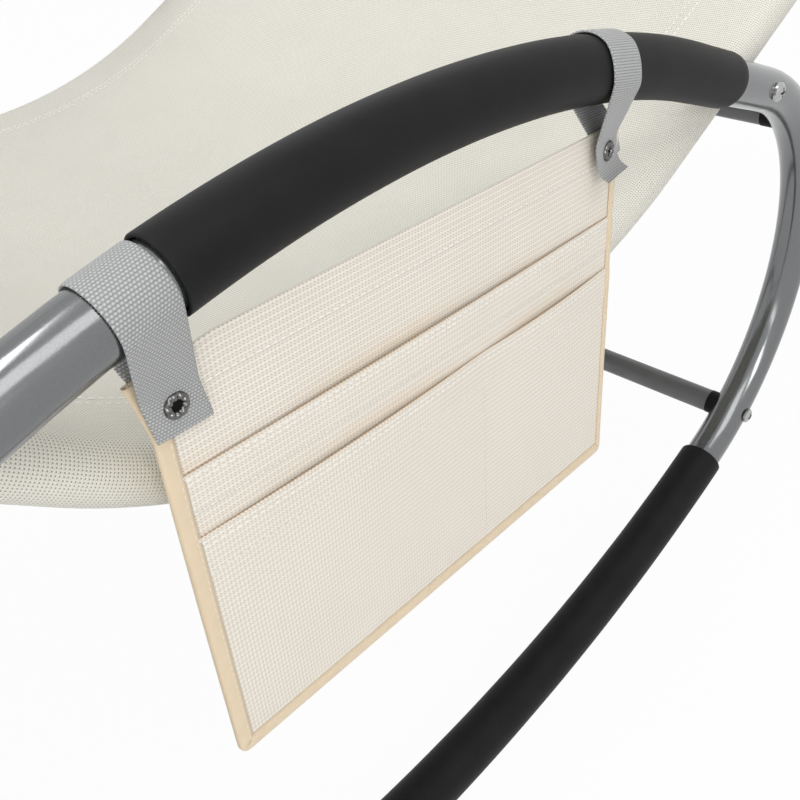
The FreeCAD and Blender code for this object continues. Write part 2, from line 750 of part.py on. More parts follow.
def outer_tail(name):
    """Edges of the snapped tail, down its inner face and up its outer one, curled away from the panel."""
    face = TAIL_FRONT - WEBBING
    tip = -STRAP_TAIL[name]
    curl = STRAP_CURL[name]
    inner_fold = V(0, TAIL_FRONT, -STRAP_FLAT)
    outer_fold = V(0, face, -STRAP_FLAT)
    if not curl:
        corners = [inner_fold, V(0, TAIL_FRONT, tip), V(0, face, tip), outer_fold]
        return [line(start, end) for start, end in zip(corners, corners[1:])]
    bend = -STUD_DROP - STUD_D / 2
    radius = (bend - tip) / math.radians(curl)
    large = radius + WEBBING / 2
    small = radius - WEBBING / 2

    def at(size, angle):
        return V(0, face - small + size * cosd(angle), bend - size * sind(angle))

    return [
        line(inner_fold, at(large, 0)),
        arc(at(large, 0), at(large, curl / 2), at(large, curl)),
        line(at(large, curl), at(small, curl)),
        arc(at(small, curl), at(small, curl / 2), at(small, 0)),
        line(at(small, 0), outer_fold),
    ]


def make_strap(name):
    """A webbing loop over the arm, its two tails lying each side of the panel."""
    x = STRAP_X[name]
    lean = STRAP_LEAN[name]
    slope = -math.degrees(math.asin(x / ARM_RADIUS))
    skew = cosd(slope - lean)
    arm_r = (ARM_FOAM_R if x > -ARM_FOAM_FRONT else LOOP_R) / skew
    inner = arm_r + STRAP_TOP_GAP + STRAP_SLACK
    outer = inner + WEBBING
    centre = (0.0, -STRAP_SLACK)
    fold = -STRAP_FLAT
    tail = -SEWN_TAIL
    front_in = (TAIL_FRONT, fold)
    front_out = (TAIL_FRONT - WEBBING, fold)
    back_in = (TAIL_BACK, fold)
    back_out = (TAIL_BACK + WEBBING, fold)
    touch_front_out = tangent_point(front_out, centre, outer, -1)
    touch_front_in = tangent_point(front_in, centre, inner, -1)
    touch_back_out = tangent_point(back_out, centre, outer, 1)
    touch_back_in = tangent_point(back_in, centre, inner, 1)
    outline = Part.Wire([
        line(V(0, *front_out), V(0, *touch_front_out)),
        arc(V(0, *touch_front_out), V(0, 0, outer - STRAP_SLACK), V(0, *touch_back_out)),
        line(V(0, *touch_back_out), V(0, *back_out)),
        line(V(0, *back_out), V(0, back_out[0], tail)),
        line(V(0, back_out[0], tail), V(0, back_in[0], tail)),
        line(V(0, back_in[0], tail), V(0, *back_in)),
        line(V(0, *back_in), V(0, *touch_back_in)),
        arc(V(0, *touch_back_in), V(0, 0, inner - STRAP_SLACK), V(0, *touch_front_in)),
        line(V(0, *touch_front_in), V(0, *front_in)),
    ] + outer_tail(name))
    face = turned(Part.Face(outline), lean)
    width = WEBBING_WIDTH / skew
    along = V(width * cosd(slope), 0, width * sind(slope))
    face.translate(V(x, POCKET_Y, arm_z(x)) - along * 0.5)
    strap = face.extrude(along)
    sx = x + STUD_DROP * sind(lean)
    sz = arm_z(x) - STUD_DROP * cosd(lean)
    hole = rod(STUD_SHANK_D / 2 + STUD_SHANK_HOLE, sx, sz, POCKET_Y - 8, POCKET_Y + 8)
    return one_solid(strap.cut(hole))


def make_stud_caps():
    """The ringed caps on the outer tails, each with its shank."""
    solids = []
    face = POCKET_Y + TAIL_FRONT - WEBBING
    for x, z in stud_places():
        dome = rod(STUD_D / 2, x, z, face, face - STUD_RING_H)
        rim = [edge for edge in dome.Edges if abs(edge.BoundBox.YMax - (face - STUD_RING_H)) < 0.01]
        dome = dome.makeFillet(STUD_RING_H * 0.7, [edge for edge in rim if edge.BoundBox.YLength < 0.01])
        hollow = rod(STUD_HOLLOW_D / 2, x, z, face - STUD_RING_H - 1, face - STUD_RING_H + STUD_HOLLOW_DEPTH)
        shank = rod(STUD_SHANK_D / 2, x, z, face, face + WEBBING)
        solids.append(joined([one_solid(dome.cut(hollow)), shank]))
    return solids


def make_stud_sockets():
    """The spring sockets that the shanks clench behind the outer tails."""
    solids = []
    face = POCKET_Y + TAIL_FRONT
    for x, z in stud_places():
        body = rod(STUD_D / 2 - 0.3, x, z, face, face + SOCKET_H)
        bore = rod(SOCKET_BORE_D / 2, x, z, face - 1, face + SOCKET_H + 1)
        solids.append(one_solid(body.cut(bore)))
    return solids


def make_stud_posts():
    """The studs on the panel, clenched through it and the inner tails."""
    solids = []
    back = POCKET_Y + TAIL_BACK + WEBBING
    for x, z in stud_places():
        base = rod(STUD_D / 2 - 0.3, x, z, PANEL_FRONT - POST_H, PANEL_FRONT)
        nipple = rod(NIPPLE_D / 2, x, z, PANEL_FRONT - POST_H - NIPPLE_H, PANEL_FRONT - POST_H)
        shank = rod(STUD_SHANK_D / 2, x, z, PANEL_FRONT, back)
        washer = rod(STUD_D / 2, x, z, back, back + POST_RING_H)
        solids.append(joined([base, nipple, shank, washer]))
    return solids


def build():
    """Every sub-part, by node name."""
    nodes = {}
    cores = {}
    bars = bar_places()
    end_bars = end_bar_places()
    for name, side in SIDES.items():
        nodes["%s_loop" % name] = make_loop(side)
        nodes["%s_arm_foam" % name] = make_arm_foam(side)
        nodes["%s_rocker_foam" % name] = make_rocker_foam(side)
        nodes["%s_leg_rail" % name] = make_leg_rail(side)
        nodes["%s_back_rail" % name] = make_back_rail(side)
        cores[side] = (
            LOOP.sweep(disc(LOOP_R + SEAT_CLEARANCE), side * LOOP_Y),
            RAIL.sweep(disc(RAIL_R + SEAT_CLEARANCE), side * RAIL_Y),
        )
    for name, place in bars.items():
        nodes[name] = make_bar(place, BAR_HALF)
    for name, place in end_bars.items():
        nodes[name] = make_bar(place, END_BAR_HALF)
    groups = {key: [] for key in (
        "bar_saddles", "end_bar_saddles", "rail_saddles", "bar_inserts", "bar_screws",
        "rail_bolts", "rail_rivet_nuts", "rail_end_caps")}
    for side in SIDES.values():
        loop_core, rail_core = cores[side]
        for place in bars.values():
            groups["bar_saddles"].append(
                make_bar_saddle(place, BAR_HALF, side, loop_core, LOOP_Y, LOOP_R))
            groups["bar_inserts"].append(make_insert(place, BAR_HALF, side))
            groups["bar_screws"].append(
                make_screw(place, side, LOOP_Y + LOOP_R, BAR_HALF - SCREW_GRIP))
        for place in end_bars.values():
            groups["end_bar_saddles"].append(
                make_bar_saddle(place, END_BAR_HALF, side, rail_core, RAIL_Y, RAIL_R))
            groups["bar_inserts"].append(make_insert(place, END_BAR_HALF, side))
            groups["bar_screws"].append(
                make_screw(place, side, RAIL_Y + RAIL_R, END_BAR_HALF - SCREW_GRIP))
        for place in rail_bolt_places():
            groups["rail_saddles"].append(make_rail_saddle(place, side, loop_core, rail_core))
            groups["rail_bolts"].append(
                make_screw(place, side, LOOP_Y + LOOP_R, RAIL_Y + RAIL_R - SCREW_GRIP))
            groups["rail_rivet_nuts"].append(make_rivet_nut(place, side))
        groups["rail_end_caps"].append(make_rail_cap(RAIL.at(0.0), -1, side))
        groups["rail_end_caps"].append(make_rail_cap(RAIL.at(RAIL.length), 1, side))
    for name, solids in groups.items():
        nodes[name] = Part.makeCompound(solids)
    nodes["sling"] = make_sling()
    nodes["pocket_panel"] = make_pocket_panel()
    nodes["pocket_upper_pouch"] = make_upper_pouch()
    nodes["pocket_lower_pouch"] = make_lower_pouch()
    nodes["pocket_binding"] = make_binding()
    nodes["front_strap"] = make_strap("front")
    nodes["rear_strap"] = make_strap("rear")
    nodes["press_stud_caps"] = Part.makeCompound(make_stud_caps())
    nodes["press_stud_sockets"] = Part.makeCompound(make_stud_sockets())
    nodes["press_stud_posts"] = Part.makeCompound(make_stud_posts())
    return nodes


def main():
    os.makedirs("parts", exist_ok=True)
    for name, shape in build().items():
        if not shape.isValid():
            raise ValueError("%s is not valid" % name)
        shape.exportStep("parts/%s.step" % name)
        print(name, len(shape.Solids), round(shape.Volume / 1000, 2), "cm3")


main()
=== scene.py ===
"""Looks of the rocking chaise lounge: finishes, woven sling, foam, webbing and pocket."""
import json
import math

import bpy
import numpy as np
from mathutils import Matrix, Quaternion, Vector


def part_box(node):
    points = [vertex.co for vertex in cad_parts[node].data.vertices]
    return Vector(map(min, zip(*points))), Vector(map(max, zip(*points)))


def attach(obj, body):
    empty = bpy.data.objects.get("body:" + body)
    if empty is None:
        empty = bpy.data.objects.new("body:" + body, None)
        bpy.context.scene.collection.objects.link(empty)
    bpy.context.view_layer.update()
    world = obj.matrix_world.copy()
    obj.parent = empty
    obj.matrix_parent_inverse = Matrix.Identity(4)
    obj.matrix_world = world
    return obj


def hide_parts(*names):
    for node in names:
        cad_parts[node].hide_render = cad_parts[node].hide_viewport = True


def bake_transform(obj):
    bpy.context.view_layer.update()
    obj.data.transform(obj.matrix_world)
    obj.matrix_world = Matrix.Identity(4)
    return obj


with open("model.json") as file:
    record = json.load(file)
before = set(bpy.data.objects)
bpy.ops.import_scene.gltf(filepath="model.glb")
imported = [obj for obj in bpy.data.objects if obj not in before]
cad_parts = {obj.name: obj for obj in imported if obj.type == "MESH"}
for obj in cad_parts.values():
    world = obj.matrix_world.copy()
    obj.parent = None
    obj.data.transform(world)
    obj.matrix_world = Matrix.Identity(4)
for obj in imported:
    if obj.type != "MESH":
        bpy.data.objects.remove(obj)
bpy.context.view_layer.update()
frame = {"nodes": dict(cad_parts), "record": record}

# Sizes are in metres and angles in degrees.

# The photograph's camera, with its lens and sensor in millimetres
CAMERA_PLACE = (-0.2863, -0.5494, 0.5895)
CAMERA_AIM = (0.585679, 0.569723, -0.576538)
CAMERA_ROLL = -2.99
CAMERA_LENS = 42.73
SENSOR = 36.0

# Side loops, clockwise from the middle of the arm. A run has its length, a bend its radius and turn.
LOOP_Y = 0.300
LOOP_R = 0.014
LOOP_TOP = (0.0, 0.46224, 0.0)
ARM_RADIUS = 0.660
LOOP_PIECES = [
    ("bend", ARM_RADIUS, -19.0),
    ("run", 0.112, 0.0),
    ("bend", 0.164, -138.06),
    ("bend", 0.850, -45.88),
    ("bend", 0.164, -138.06),
    ("run", 0.112, 0.0),
    ("bend", ARM_RADIUS, -19.0),
]

# Foam sleeves
ARM_FOAM_R = 0.0164
ROCKER_FOAM_R = 0.017
FOAM_BORE = 0.0145
FOAM_RIM = 0.0009
ARM_FOAM_FRONT = 0.1415
ARM_FOAM_REAR = 0.2645
ROCKER_FOAM_HALF = 0.335
FOAM_SWELL = 0.004
SLEEVE_INSIDE = 0.03
SLEEVE_EDGE = 0.0006
SLEEVE_STEP = 0.006
SLEEVE_SIDES = 64

# Side rails, from the foot end to the head end
RAIL_Y = 0.2715
RAIL_R = 0.0125
RAIL_FOOT_X = -0.76898
RAIL_PIECES = [
    ("run", 0.060, 0.0),
    ("bend", 0.320, 20.0),
    ("run", 0.23333, 0.0),
    ("bend", 0.135, -71.8),
    ("run", 0.09773, 0.0),
    ("bend", 0.284, 36.0),
    ("run", 0.060, 0.0),
    ("bend", 0.411, 29.3),
    ("run", 0.220, 0.0),
    ("bend", 0.800, 10.5),
    ("run", 0.25199, 0.0),
]
FOOT_ANGLE = 14.0

# Stitches, each kind with its length, gap and thread radius
STITCH = (0.0026, 0.0014, 0.00022)
SLING_STITCH = (0.0034, 0.0016, 0.0003)
MOUTH_STITCH = (0.0013, 0.0007, 0.0003)
STITCH_LIFT = 0.0003
THREAD_FLAT = 1.3
THREAD_END = 0.25

# Sling. Its yarns are given as pitches along and across it.
FABRIC = 0.00085
SLEEVE_GAP = 0.00035
SEAM_INSET = 0.040
SLING_SAG = 0.008
SLING_END_INSET = 0.046
SLING_STEP = 0.006
SLING_SEED = 0.7
SLING_PUCKER = 0.0005
PUCKER_REACH = 0.022
SLING_WAVE = 0.0012
SLING_YARNS = (0.00178, 0.00142)
SKIRT_DROP = FABRIC * 1.4
SEAM_LIFT = 0.0001
SEAM_ROWS = (-0.0015, 0.0045)
END_ROW = 5

# Pocket cloth
POCKET_Y = -0.300
POCKET_FRONT_X = -0.155
POCKET_REAR_X = 0.145
POCKET_BOTTOM = 0.20524
POCKET_HEM = 0.41924
MOUTH_UPPER = 0.36724
MOUTH_LOWER = 0.33624
DIVIDER_X = 0.027
MESH = 0.0006
PANEL = 0.0008
PANEL_WAVE = 0.0002
LAYER_GAP = 0.00005
LAYER_EASE = 0.004
UPPER_BULGE = 0.0018
LOWER_BULGE = 0.0035
POCKET_YARNS = (0.00194, 0.00146)
POCKET_COLUMNS = 121
POCKET_STEP = 0.003
SHEET_EDGE = 0.001

# Pocket tape, folded over the edges of the cloth, and the pouches between it
BINDING_WIDTH = 0.007
BINDING = 0.0006
REAR_TAPE = 0.6
REAR_TAPER = 0.03
TAPE_CLOTH = 0.0005
TAPE_CORNER = 0.004
TAPE_RIB = 0.0006
TAPE_WOBBLE = 0.00025
TAPE_LIP = 0.0008
TAPE_TUCK = 0.0003
TAPE_FOLD = 0.002
TAPE_ROW_FRONT = 0.0019
TAPE_ROW_REAR = 0.0012
TAPE_ROW_LOW = 0.0015
TAPE_ROW_FROM = 0.006
TAPE_SIDE_POINTS = 74
TAPE_LOW_POINTS = 98
POUCH_FRONT_X = POCKET_FRONT_X + BINDING_WIDTH
POUCH_REAR_X = POCKET_REAR_X - BINDING_WIDTH

# Pocket hems and mouths. Each point of the crest holds its height over the edge and share of the rise.
TOP_HEM = 0.019
TOP_HEM_ROW = 0.018
TOP_HEM_LIFT = 0.0002
TOP_HEM_RISE = MESH / 2 + 0.0003
MOUTH_HEM = 0.0195
MOUTH_HEM_RISE = MESH / 2 + 0.0002
MOUTH_ROWS = (0.0022, 0.0048, MOUTH_HEM - 0.0008)
MOUTH_FADE = 0.012
MOUTH_END = 0.003
HEM_EDGE = 0.0006
HEM_END = 0.002
HEM_CREST = [(-0.0004, 1.0), (0.0002, 0.6), (0.0003, 0.0)]
HEM_YARN_SHIFT = 0.00055

# How the pocket hangs from its straps, and its flared front top corner
HANG_FROM = 0.400
HANG_OUT = 0.005
HANG_SIDE = 0.0023
HANG_LIFT = 0.002
HANG_NARROW = 0.003
HANG_SKEW = 0.0008
HANG_TILT = 0.001
HANG_EASE = 1.3
CORNER_FROM = 0.386
CORNER_WIDTH = 0.032
CORNER_FLARE = 0.0067
CORNER_DROP = 0.005
CORNER_EASE = 1.2
PAST_END = 1.2

# Straps
STRAP_X = {"front": -0.1544, "rear": 0.1175}
STRAP_LEAN = {"front": 11.0, "rear": 13.0}
INNER_LEAN = {"front": 5.0, "rear": 9.0}
STRAP_TWIST = {"front": 0.0, "rear": 9.0}
STRAP_TAIL = {"front": 0.056, "rear": 0.060}
STRAP_CURL = {"front": 0.0, "rear": 85.0}
WEBBING_WIDTH = 0.025
WEBBING = 0.0014
WEBBING_PICK = 0.00133
WEBBING_END = 0.00073
SELVEDGE_LOOP = 0.00012
SELVEDGE_FROM = 0.93
OUTER_TAIL = 0.0030
INNER_TAIL = 0.0013
SEWN_TAIL = 0.055
STRAP_GAP = 0.0003
STRAP_SLACK = 0.0005
STRAP_FLAT = 0.038
STRAP_EASING = 60
LEAN_ABOVE = 0.014
LEAN_REACH = 0.018
TURN_FROM = 0.006
TURN_REACH = 0.032

# Press studs. Each row of the profile holds shares of the radius, the rise and the crimp.
STUD_DROP = 0.044
STUD_R = 0.0054
STUD_RISE = 0.0019
STUD_PETALS = 9
STUD_SCALLOP = 0.03
STUD_CRIMP = 0.35
STUD_PROFILE = [
    (1.0, -0.1, 0.0),
    (1.0, 0.15, 0.1),
    (0.97, 0.45, 0.3),
    (0.89, 0.76, 0.7),
    (0.78, 0.94, 1.0),
    (0.66, 1.0, 1.0),
    (0.55, 0.88, 1.0),
    (0.47, 0.6, 0.6),
    (0.42, 0.3, 0.0),
    (0.40, 0.16, 0.0),
    (0.2, 0.16, 0.0),
]
STUD_POINTS = 120

# Floor and world
FLOOR_HALF = 6.0
FLOOR_DROP = 0.0002
FLOOR_GLOW = 0.96
WORLD_LIGHT = 0.55


# Mesh helpers

def route(start, pieces, distances):
    """Places (x, z) and headings at distances along straight runs and tangent arcs."""
    result = []
    for distance in distances:
        x, z, heading = start
        left = distance
        for kind, size, turn in pieces:
            length = size if kind == "run" else size * math.radians(abs(turn))
            part = min(left, length)
            if kind == "run":
                x += part * math.cos(heading)
                z += part * math.sin(heading)
            else:
                side = 1 if turn > 0 else -1
                after = heading + side * part / size
                x += side * size * (math.sin(after) - math.sin(heading))
                z -= side * size * (math.cos(after) - math.cos(heading))
                heading = after
            left -= part
            if left <= 0:
                break
        result.append((x, z, heading))
    return np.array(result)


def route_length(pieces):
    """Length along all runs and arcs."""
    return sum(s if k == "run" else s * math.radians(abs(t)) for k, s, t in pieces)


def grid_faces(rows, columns, wrap=False):
    """Quads of a grid of points, closed round its columns if asked."""
    faces = []
    last = columns if wrap else columns - 1
    for i in range(rows - 1):
        for j in range(last):
            k = (j + 1) % columns
            here, above = i * columns, (i + 1) * columns
            faces.append((here + j, here + k, above + k, above + j))
    return faces


def build(name, points, faces, uv, material, body):
    """A smooth mesh piece that rides on a body, if one is named. uv holds one pair per point."""
    mesh = bpy.data.meshes.new(name)
    mesh.from_pydata([tuple(p) for p in points], [], faces)
    layer = mesh.uv_layers.new(name="cloth")
    corners = np.empty(len(mesh.loops), dtype=np.int32)
    mesh.loops.foreach_get("vertex_index", corners)
    layer.data.foreach_set("uv", np.asarray(uv, dtype=np.float32)[corners].ravel())
    mesh.polygons.foreach_set("use_smooth", [True] * len(mesh.polygons))
    mesh.materials.append(material)
    mesh.update()
    piece = bpy.data.objects.new(name, mesh)
    bpy.context.scene.collection.objects.link(piece)
    if body:
        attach(piece, body)
    return piece


def build_grid(name, points, uv, material, body, wrap=False):
    """A smooth mesh piece from a grid of points, closed round its columns if asked."""
    rows, columns = points.shape[:2]
    faces = grid_faces(rows, columns, wrap)
    return build(name, points.reshape(-1, 3), faces, uv.reshape(-1, 2), material, body)


def along(line):
    """Distance of each point of a line from its first point."""
    steps = np.linalg.norm(np.diff(line, axis=0), axis=1)
    return np.concatenate([[0.0], np.cumsum(steps)])


def between(at, distances, values):
    """Values of a line's points, read at one or more distances along it."""
    return np.stack([np.interp(at, distances, column) for column in values.T], axis=-1)


def paired(a, b):
    """Two arrays of cloth coordinates as one array of pairs."""
    return np.stack(np.broadcast_arrays(a, b), axis=-1)


def thicken(piece, thickness):
    """Give a sheet its thickness, half to each side."""
    shell = piece.modifiers.new("thickness", "SOLIDIFY")
    shell.thickness = thickness
    shell.offset = 0.0


def ripple(a, b, seed):
    """Smooth uneven waves between -1 and 1, the same on every run."""
    value = 0.0
    for k in range(1, 5):
        value = value + np.sin(a * k * 1.7 + seed * k) * np.cos(b * (5 - k) * 1.3 - seed * 2.1 * k)
    return value / 4


# Material helpers

class Graph:
    """Short calls for building one material's nodes."""

    def __init__(self, name, colour, roughness, metallic=0.0):
        self.material = bpy.data.materials.new(name)
        self.material.use_nodes = True
        self.tree = self.material.node_tree
        self.shader = self.tree.nodes["Principled BSDF"]
        self.shader.inputs["Base Color"].default_value = (*colour, 1.0)
        self.shader.inputs["Roughness"].default_value = roughness
        self.shader.inputs["Metallic"].default_value = metallic

    def put(self, socket, value):
        """Link a socket, or set its constant."""
        if isinstance(value, bpy.types.NodeSocket):
            self.tree.links.new(value, socket)
        else:
            socket.default_value = value

    def math(self, operation, a, b=0.0, c=0.0):
        node = self.tree.nodes.new("ShaderNodeMath")
        node.operation = operation
        self.put(node.inputs[0], a)
        self.put(node.inputs[1], b)
        self.put(node.inputs[2], c)
        return node.outputs[0]

    def cloth_uv(self):
        """The two cloth coordinates of a piece, in metres."""
        node = self.tree.nodes.new("ShaderNodeUVMap")
        node.uv_map = "cloth"
        split = self.tree.nodes.new("ShaderNodeSeparateXYZ")
        self.tree.links.new(node.outputs["UV"], split.inputs[0])
        return split.outputs[0], split.outputs[1]

    def noise(self, scale, detail=2.0):
        """Noise in the piece's own space, with its scale per metre."""
        node = self.tree.nodes.new("ShaderNodeTexNoise")
        node.inputs["Scale"].default_value = scale
        node.inputs["Detail"].default_value = detail
        place = self.tree.nodes.new("ShaderNodeTexCoord")
        self.tree.links.new(place.outputs["Object"], node.inputs["Vector"])
        return node.outputs["Fac"]

    def spread(self, value, low, high, to_low=0.0, to_high=1.0):
        """A value eased from one range to another."""
        node = self.tree.nodes.new("ShaderNodeMapRange")
        node.interpolation_type = "SMOOTHSTEP"
        self.put(node.inputs["Value"], value)
        node.inputs["From Min"].default_value = low
        node.inputs["From Max"].default_value = high
        node.inputs["To Min"].default_value = to_low
        node.inputs["To Max"].default_value = to_high
        return node.outputs["Result"]

    def mix(self, factor, first, second):
        node = self.tree.nodes.new("ShaderNodeMix")
        node.data_type = "RGBA"
        self.put(node.inputs[0], factor)
        for socket, value in ((node.inputs[6], first), (node.inputs[7], second)):
            linked = isinstance(value, bpy.types.NodeSocket)
            self.put(socket, value if linked else (*value, 1.0))
        return node.outputs[2]

    def wave(self, coordinate, pitch):
        """A sine along a coordinate that changes sign with every yarn."""
        return self.math("SINE", self.math("MULTIPLY", coordinate, math.pi / pitch))

    def colour(self, socket):
        self.tree.links.new(socket, self.shader.inputs["Base Color"])

    def uneven_roughness(self, scale, low, high):
        fine = self.spread(self.noise(scale), 0.2, 0.8, low, high)
        self.tree.links.new(fine, self.shader.inputs["Roughness"])

    def bump(self, height, distance, strength=1.0):
        node = self.tree.nodes.new("ShaderNodeBump")
        node.inputs["Distance"].default_value = distance
        node.inputs["Strength"].default_value = strength
        self.put(node.inputs["Height"], height)
        self.tree.links.new(node.outputs["Normal"], self.shader.inputs["Normal"])


def weave(graph, pitch_u, pitch_v, wide_u, wide_v):
    """Height of a plain weave, and how open it is at the corners of its yarns."""
    u, v = graph.cloth_uv()
    wave_u = graph.wave(u, pitch_u)
    wave_v = graph.wave(v, pitch_v)
    over = graph.math("MULTIPLY", wave_u, wave_v)
    ridge_u = graph.math("ABSOLUTE", wave_u)
    ridge_v = graph.math("ABSOLUTE", wave_v)
    warp = graph.math("MULTIPLY", ridge_v, graph.math("MULTIPLY_ADD", over, 0.4, 0.6))
    weft = graph.math("MULTIPLY", ridge_u, graph.math("MULTIPLY_ADD", over, -0.4, 0.6))
    height = graph.math("MAXIMUM", warp, weft)
    reach_u = graph.math("MULTIPLY", ridge_u, wide_u)
    reach_v = graph.math("MULTIPLY", ridge_v, wide_v)
    opening = graph.spread(graph.math("MAXIMUM", reach_u, reach_v), 0.28, 0.62, 1.0, 0.0)
    return height, opening


# Materials

def make_frame_paint():
    """Silver-grey metallic powder coat with fine flakes and a little clear gloss."""
    graph = Graph("frame_paint", (0.18, 0.183, 0.186), 0.17, 0.85)
    flakes = graph.noise(2600.0, 1.0)
    graph.colour(graph.mix(flakes, (0.155, 0.159, 0.162), (0.22, 0.225, 0.228)))
    graph.uneven_roughness(60.0, 0.14, 0.2)
    graph.bump(graph.noise(900.0, 1.0), 0.00004, 0.25)
    return graph.material


def make_bar_paint():
    """Dark grey powder coat with a slight orange-peel texture."""
    graph = Graph("bar_paint", (0.13, 0.132, 0.134), 0.42, 0.5)
    graph.uneven_roughness(80.0, 0.36, 0.5)
    graph.bump(graph.noise(1200.0, 1.0), 0.00005, 0.3)
    return graph.material


def make_foam():
    """Matt black closed-cell foam with fine pores."""
    graph = Graph("foam", (0.012, 0.012, 0.0125), 0.5)
    graph.colour(graph.mix(graph.noise(45.0), (0.009, 0.009, 0.0095), (0.016, 0.016, 0.0165)))
    graph.shader.inputs["Specular IOR Level"].default_value = 0.1
    graph.bump(graph.noise(1500.0, 3.0), 0.00012, 0.6)
    return graph.material


def make_plastic(name, colour, roughness, gloss=0.5):
    """Moulded plastic, or the painted shade of a hollow, with a faint grain."""
    graph = Graph(name, colour, roughness)
    graph.shader.inputs["Specular IOR Level"].default_value = gloss
    graph.bump(graph.noise(1800.0, 2.0), 0.00004, 0.4)
    return graph.material


def make_screw_steel():
    """Zinc-plated steel with faint turning marks."""
    graph = Graph("screw_steel", (0.45, 0.45, 0.445), 0.26, 1.0)
    graph.uneven_roughness(700.0, 0.16, 0.32)
    graph.bump(graph.noise(2500.0, 1.0), 0.00002, 0.3)
    return graph.material


def make_stud_nickel():
    """Dark polished nickel of the press-stud caps."""
    graph = Graph("stud_nickel", (0.15, 0.147, 0.143), 0.14, 1.0)
    graph.bump(graph.noise(2500.0, 1.0), 0.00002, 0.3)
    return graph.material


def make_sling_weave():
    """Ivory coated mesh: round yarns in a plain weave, with its small openings painted dark as the
    shade seen through them.
    """
    graph = Graph("sling_weave", (0.74, 0.72, 0.65), 0.55)
    height, opening = weave(graph, *SLING_YARNS, 1.0, 0.85)
    tone = graph.mix(graph.noise(28.0, 3.0), (0.72, 0.70, 0.615), (0.755, 0.735, 0.655))
    # The openings are painted a dark brown as painted shade, standing in for the shadow seen through
    # the holes of the mesh.
    graph.colour(graph.mix(opening, tone, (0.17, 0.15, 0.12)))
    graph.shader.inputs["Sheen Weight"].default_value = 0.08
    graph.bump(height, 0.00035, 0.8)
    return graph.material


def above_mouth(graph, height, mouth):
    """Mask of the painted warm shading: 1 just above a pouch's mouth, fading out upwards, and 0 below
    it.
    """
    fade = graph.spread(height, mouth, mouth + MOUTH_FADE, 1.0, 0.0)
    return graph.math("MULTIPLY", fade, graph.spread(height, mouth - 0.0004, mouth))


def make_pocket_mesh():
    """Cream mesh of the pocket: each second row duller, painted warm shading above the mouths where the
    layers behind show through, and painted shade in its openings.
    """
    graph = Graph("pocket_mesh", (0.82, 0.76, 0.66), 0.6)
    height, opening = weave(graph, *POCKET_YARNS, 0.8, 1.0)
    tone = graph.mix(graph.noise(24.0, 3.0), (0.78, 0.735, 0.65), (0.825, 0.785, 0.71))
    height_up = graph.cloth_uv()[1]
    rows = graph.wave(height_up, POCKET_YARNS[1])
    mouths = [above_mouth(graph, height_up, mouth) for mouth in (MOUTH_UPPER, MOUTH_LOWER)]
    # Painted warm shading: a warm glow and shade just above each mouth, where the layers behind show
    # through the mesh.
    painted_mouth_shading = graph.math("ADD", *mouths)
    uneven = graph.spread(graph.noise(11.0, 1.0), 0.35, 0.65, 0.1, 0.45)
    tone = graph.mix(graph.math("MULTIPLY", painted_mouth_shading, uneven), tone, (0.80, 0.62, 0.42))
    tone = graph.mix(graph.spread(rows, -0.4, 0.4, 0.24, 0.0), tone, (0.45, 0.40, 0.33))
    # The openings are painted brown as painted shade, standing in for the shaded layers seen through
    # the holes of the mesh.
    graph.colour(graph.mix(opening, tone, (0.50, 0.36, 0.27)))
    graph.bump(height, 0.0002, 0.6)
    return graph.material


def make_pocket_tape():
    """Peach woven tape with fine cross ribs."""
    graph = Graph("pocket_tape", (0.80, 0.63, 0.44), 0.7)
    ribs = graph.math("ABSOLUTE", graph.wave(graph.cloth_uv()[0], TAPE_RIB))
    fine = graph.math("MULTIPLY_ADD", graph.noise(1500.0), 0.4, ribs)
    graph.colour(graph.mix(graph.noise(160.0, 3.0), (0.70, 0.56, 0.385), (0.765, 0.625, 0.445)))
    graph.shader.inputs["Sheen Weight"].default_value = 0.15
    graph.bump(fine, 0.00012, 0.6)
    return graph.material


def make_webbing():
    """Light grey webbing: a rib for each pick and staggered knuckles of yarn, painted lighter on the
    raised knuckles and darker in the furrows as painted highlight and shade.
    """
    graph = Graph("webbing", (0.36, 0.365, 0.36), 0.5)
    u, v = graph.cloth_uv()
    row = graph.wave(v, WEBBING_PICK)
    knuckle = graph.math("MULTIPLY", row, graph.wave(u, WEBBING_END))
    rib = graph.math("ABSOLUTE", row)
    height = graph.math("MULTIPLY_ADD", knuckle, 0.36, graph.math("MULTIPLY", rib, 0.7))
    # The colour follows the weave's height: painted highlight on the knuckles and ribs, painted shade
    # in the furrows between them.
    share = graph.spread(height, -0.1, 1.0)
    graph.colour(graph.mix(share, (0.205, 0.209, 0.205), (0.485, 0.49, 0.485)))
    graph.shader.inputs["Sheen Weight"].default_value = 0.1
    graph.bump(height, 0.0003, 0.9)
    return graph.material


def make_thread(name, colour):
    """Sewing thread with a fine fuzz."""
    graph = Graph(name, colour, 0.6)
    graph.bump(graph.noise(4000.0), 0.00005, 0.5)
    return graph.material


